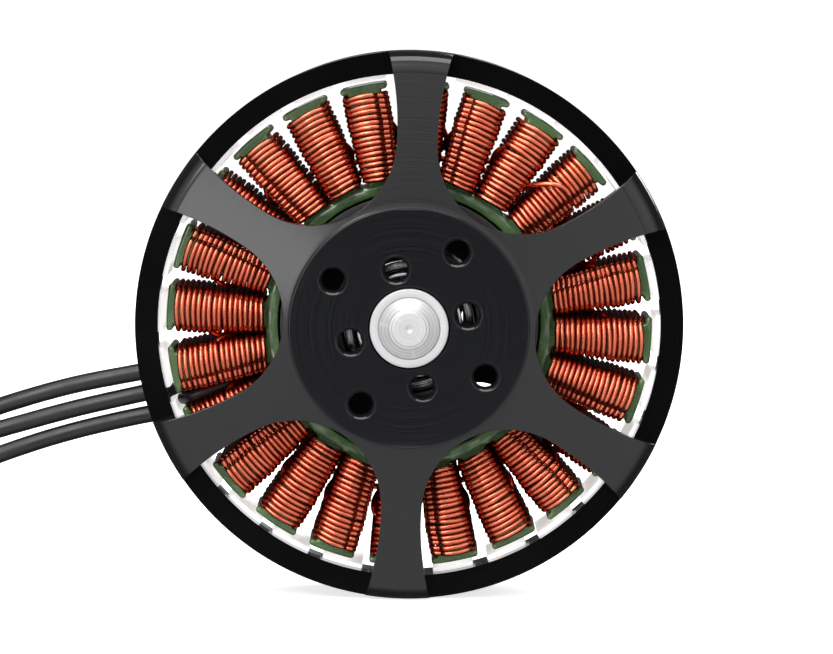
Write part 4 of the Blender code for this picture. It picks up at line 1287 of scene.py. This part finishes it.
def windings():
    for number, phase in enumerate(PHASES):
        teeth = [tooth for tooth in range(TEETH) if tooth // 2 % len(PHASES) == number]
        shell = Shell()
        ring_r = FIRST_CROSSOVER_R + CROSSOVER_PITCH * number
        for tooth in teeth:
            path = coil_path(tooth)
            out, across = path[0][:2]
            tail = [(ring_r, across, 4.3), (ring_r * 0.4 + out * 0.6, across, 4.7)]
            last = path[-1]
            end = [(last[0] - 1.0, last[1] * 0.5, 5.1), (last[0] - 6.0, last[1] * 0.3, 4.9),
                   (ring_r, 0.9, 4.3)]
            path = tail + path + end
            shell.tube([to_tooth(point, tooth) for point in path], WIRE_R, 8,
                       across=to_tooth((1, 0, 0), tooth))
            slot_wires(shell, tooth)
        ring = []
        for t in turns(180):
            wobble = 0.18 * sin(7 * t + number) + 0.12 * sin(13 * t)
            ring.append(polar(ring_r + wobble, t, 4.3 + 0.1 * sin(11 * t + number)))
        shell.tube(ring, CROSSOVER_R, 10, closed=True)
        if number == 1:
            loose_turn(shell)
        name = f"winding_phase_{phase}"
        shell.piece(f"wire_phase_{phase}", LOOKS["copper"], "stator", [name], "copper_wire", sharp=70)


def loose_turn(shell):
    """The turn that lies across one coil's face and runs back into the slot beside it."""
    knots = [(29.6, 50.5, 26.2), (30.4, 50.0, 28.6), (31.6, 48.2, 30.2), (33.2, 45.6, 31.2),
             (34.2, 43.4, 31.35), (34.7, 41.2, 31.25), (34.6, 38.8, 31.0), (34.0, 36.9, 29.9),
             (33.6, 36.2, 28.0)]
    points = [Vector(polar(r, radians(angle), z)) for r, angle, z in knots]
    dense = smooth_path(points, 6)
    shell.tube(dense, WIRE_R, 10)


windings()


def slot_sleeve():
    """The black sleeve over the phase ends, lying in the slot on the side that the leads leave from."""
    knots = [(40.2, 198.6, 17.0), (40.3, 198.6, 22.5), (39.0, 198.5, 25.3), (36.0, 198.4, 25.8),
             (32.0, 198.4, 25.2), (28.6, 198.4, 24.0), (26.9, 198.4, 20.0), (26.6, 198.4, 12.0)]
    points = [Vector(polar(r, radians(angle), z)) for r, angle, z in knots]
    dense = smooth_path(points, 8)
    radii = np.interp(np.linspace(0, 1, len(dense)), (0, 0.3, 0.7, 1), (1.0, 1.2, 0.9, 0.7))
    shell = Shell()
    shell.tube(dense, radii, 28)
    shell.piece("slot_sleeve", LOOKS["shrink"], "stator", slot="heat_shrink")


slot_sleeve()

# The pieces above replace every CAD node, so none shows. Each still gets a procedural material.
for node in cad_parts.values():
    node.data.materials.clear()
    node.data.materials.append(LOOKS["bearing"])
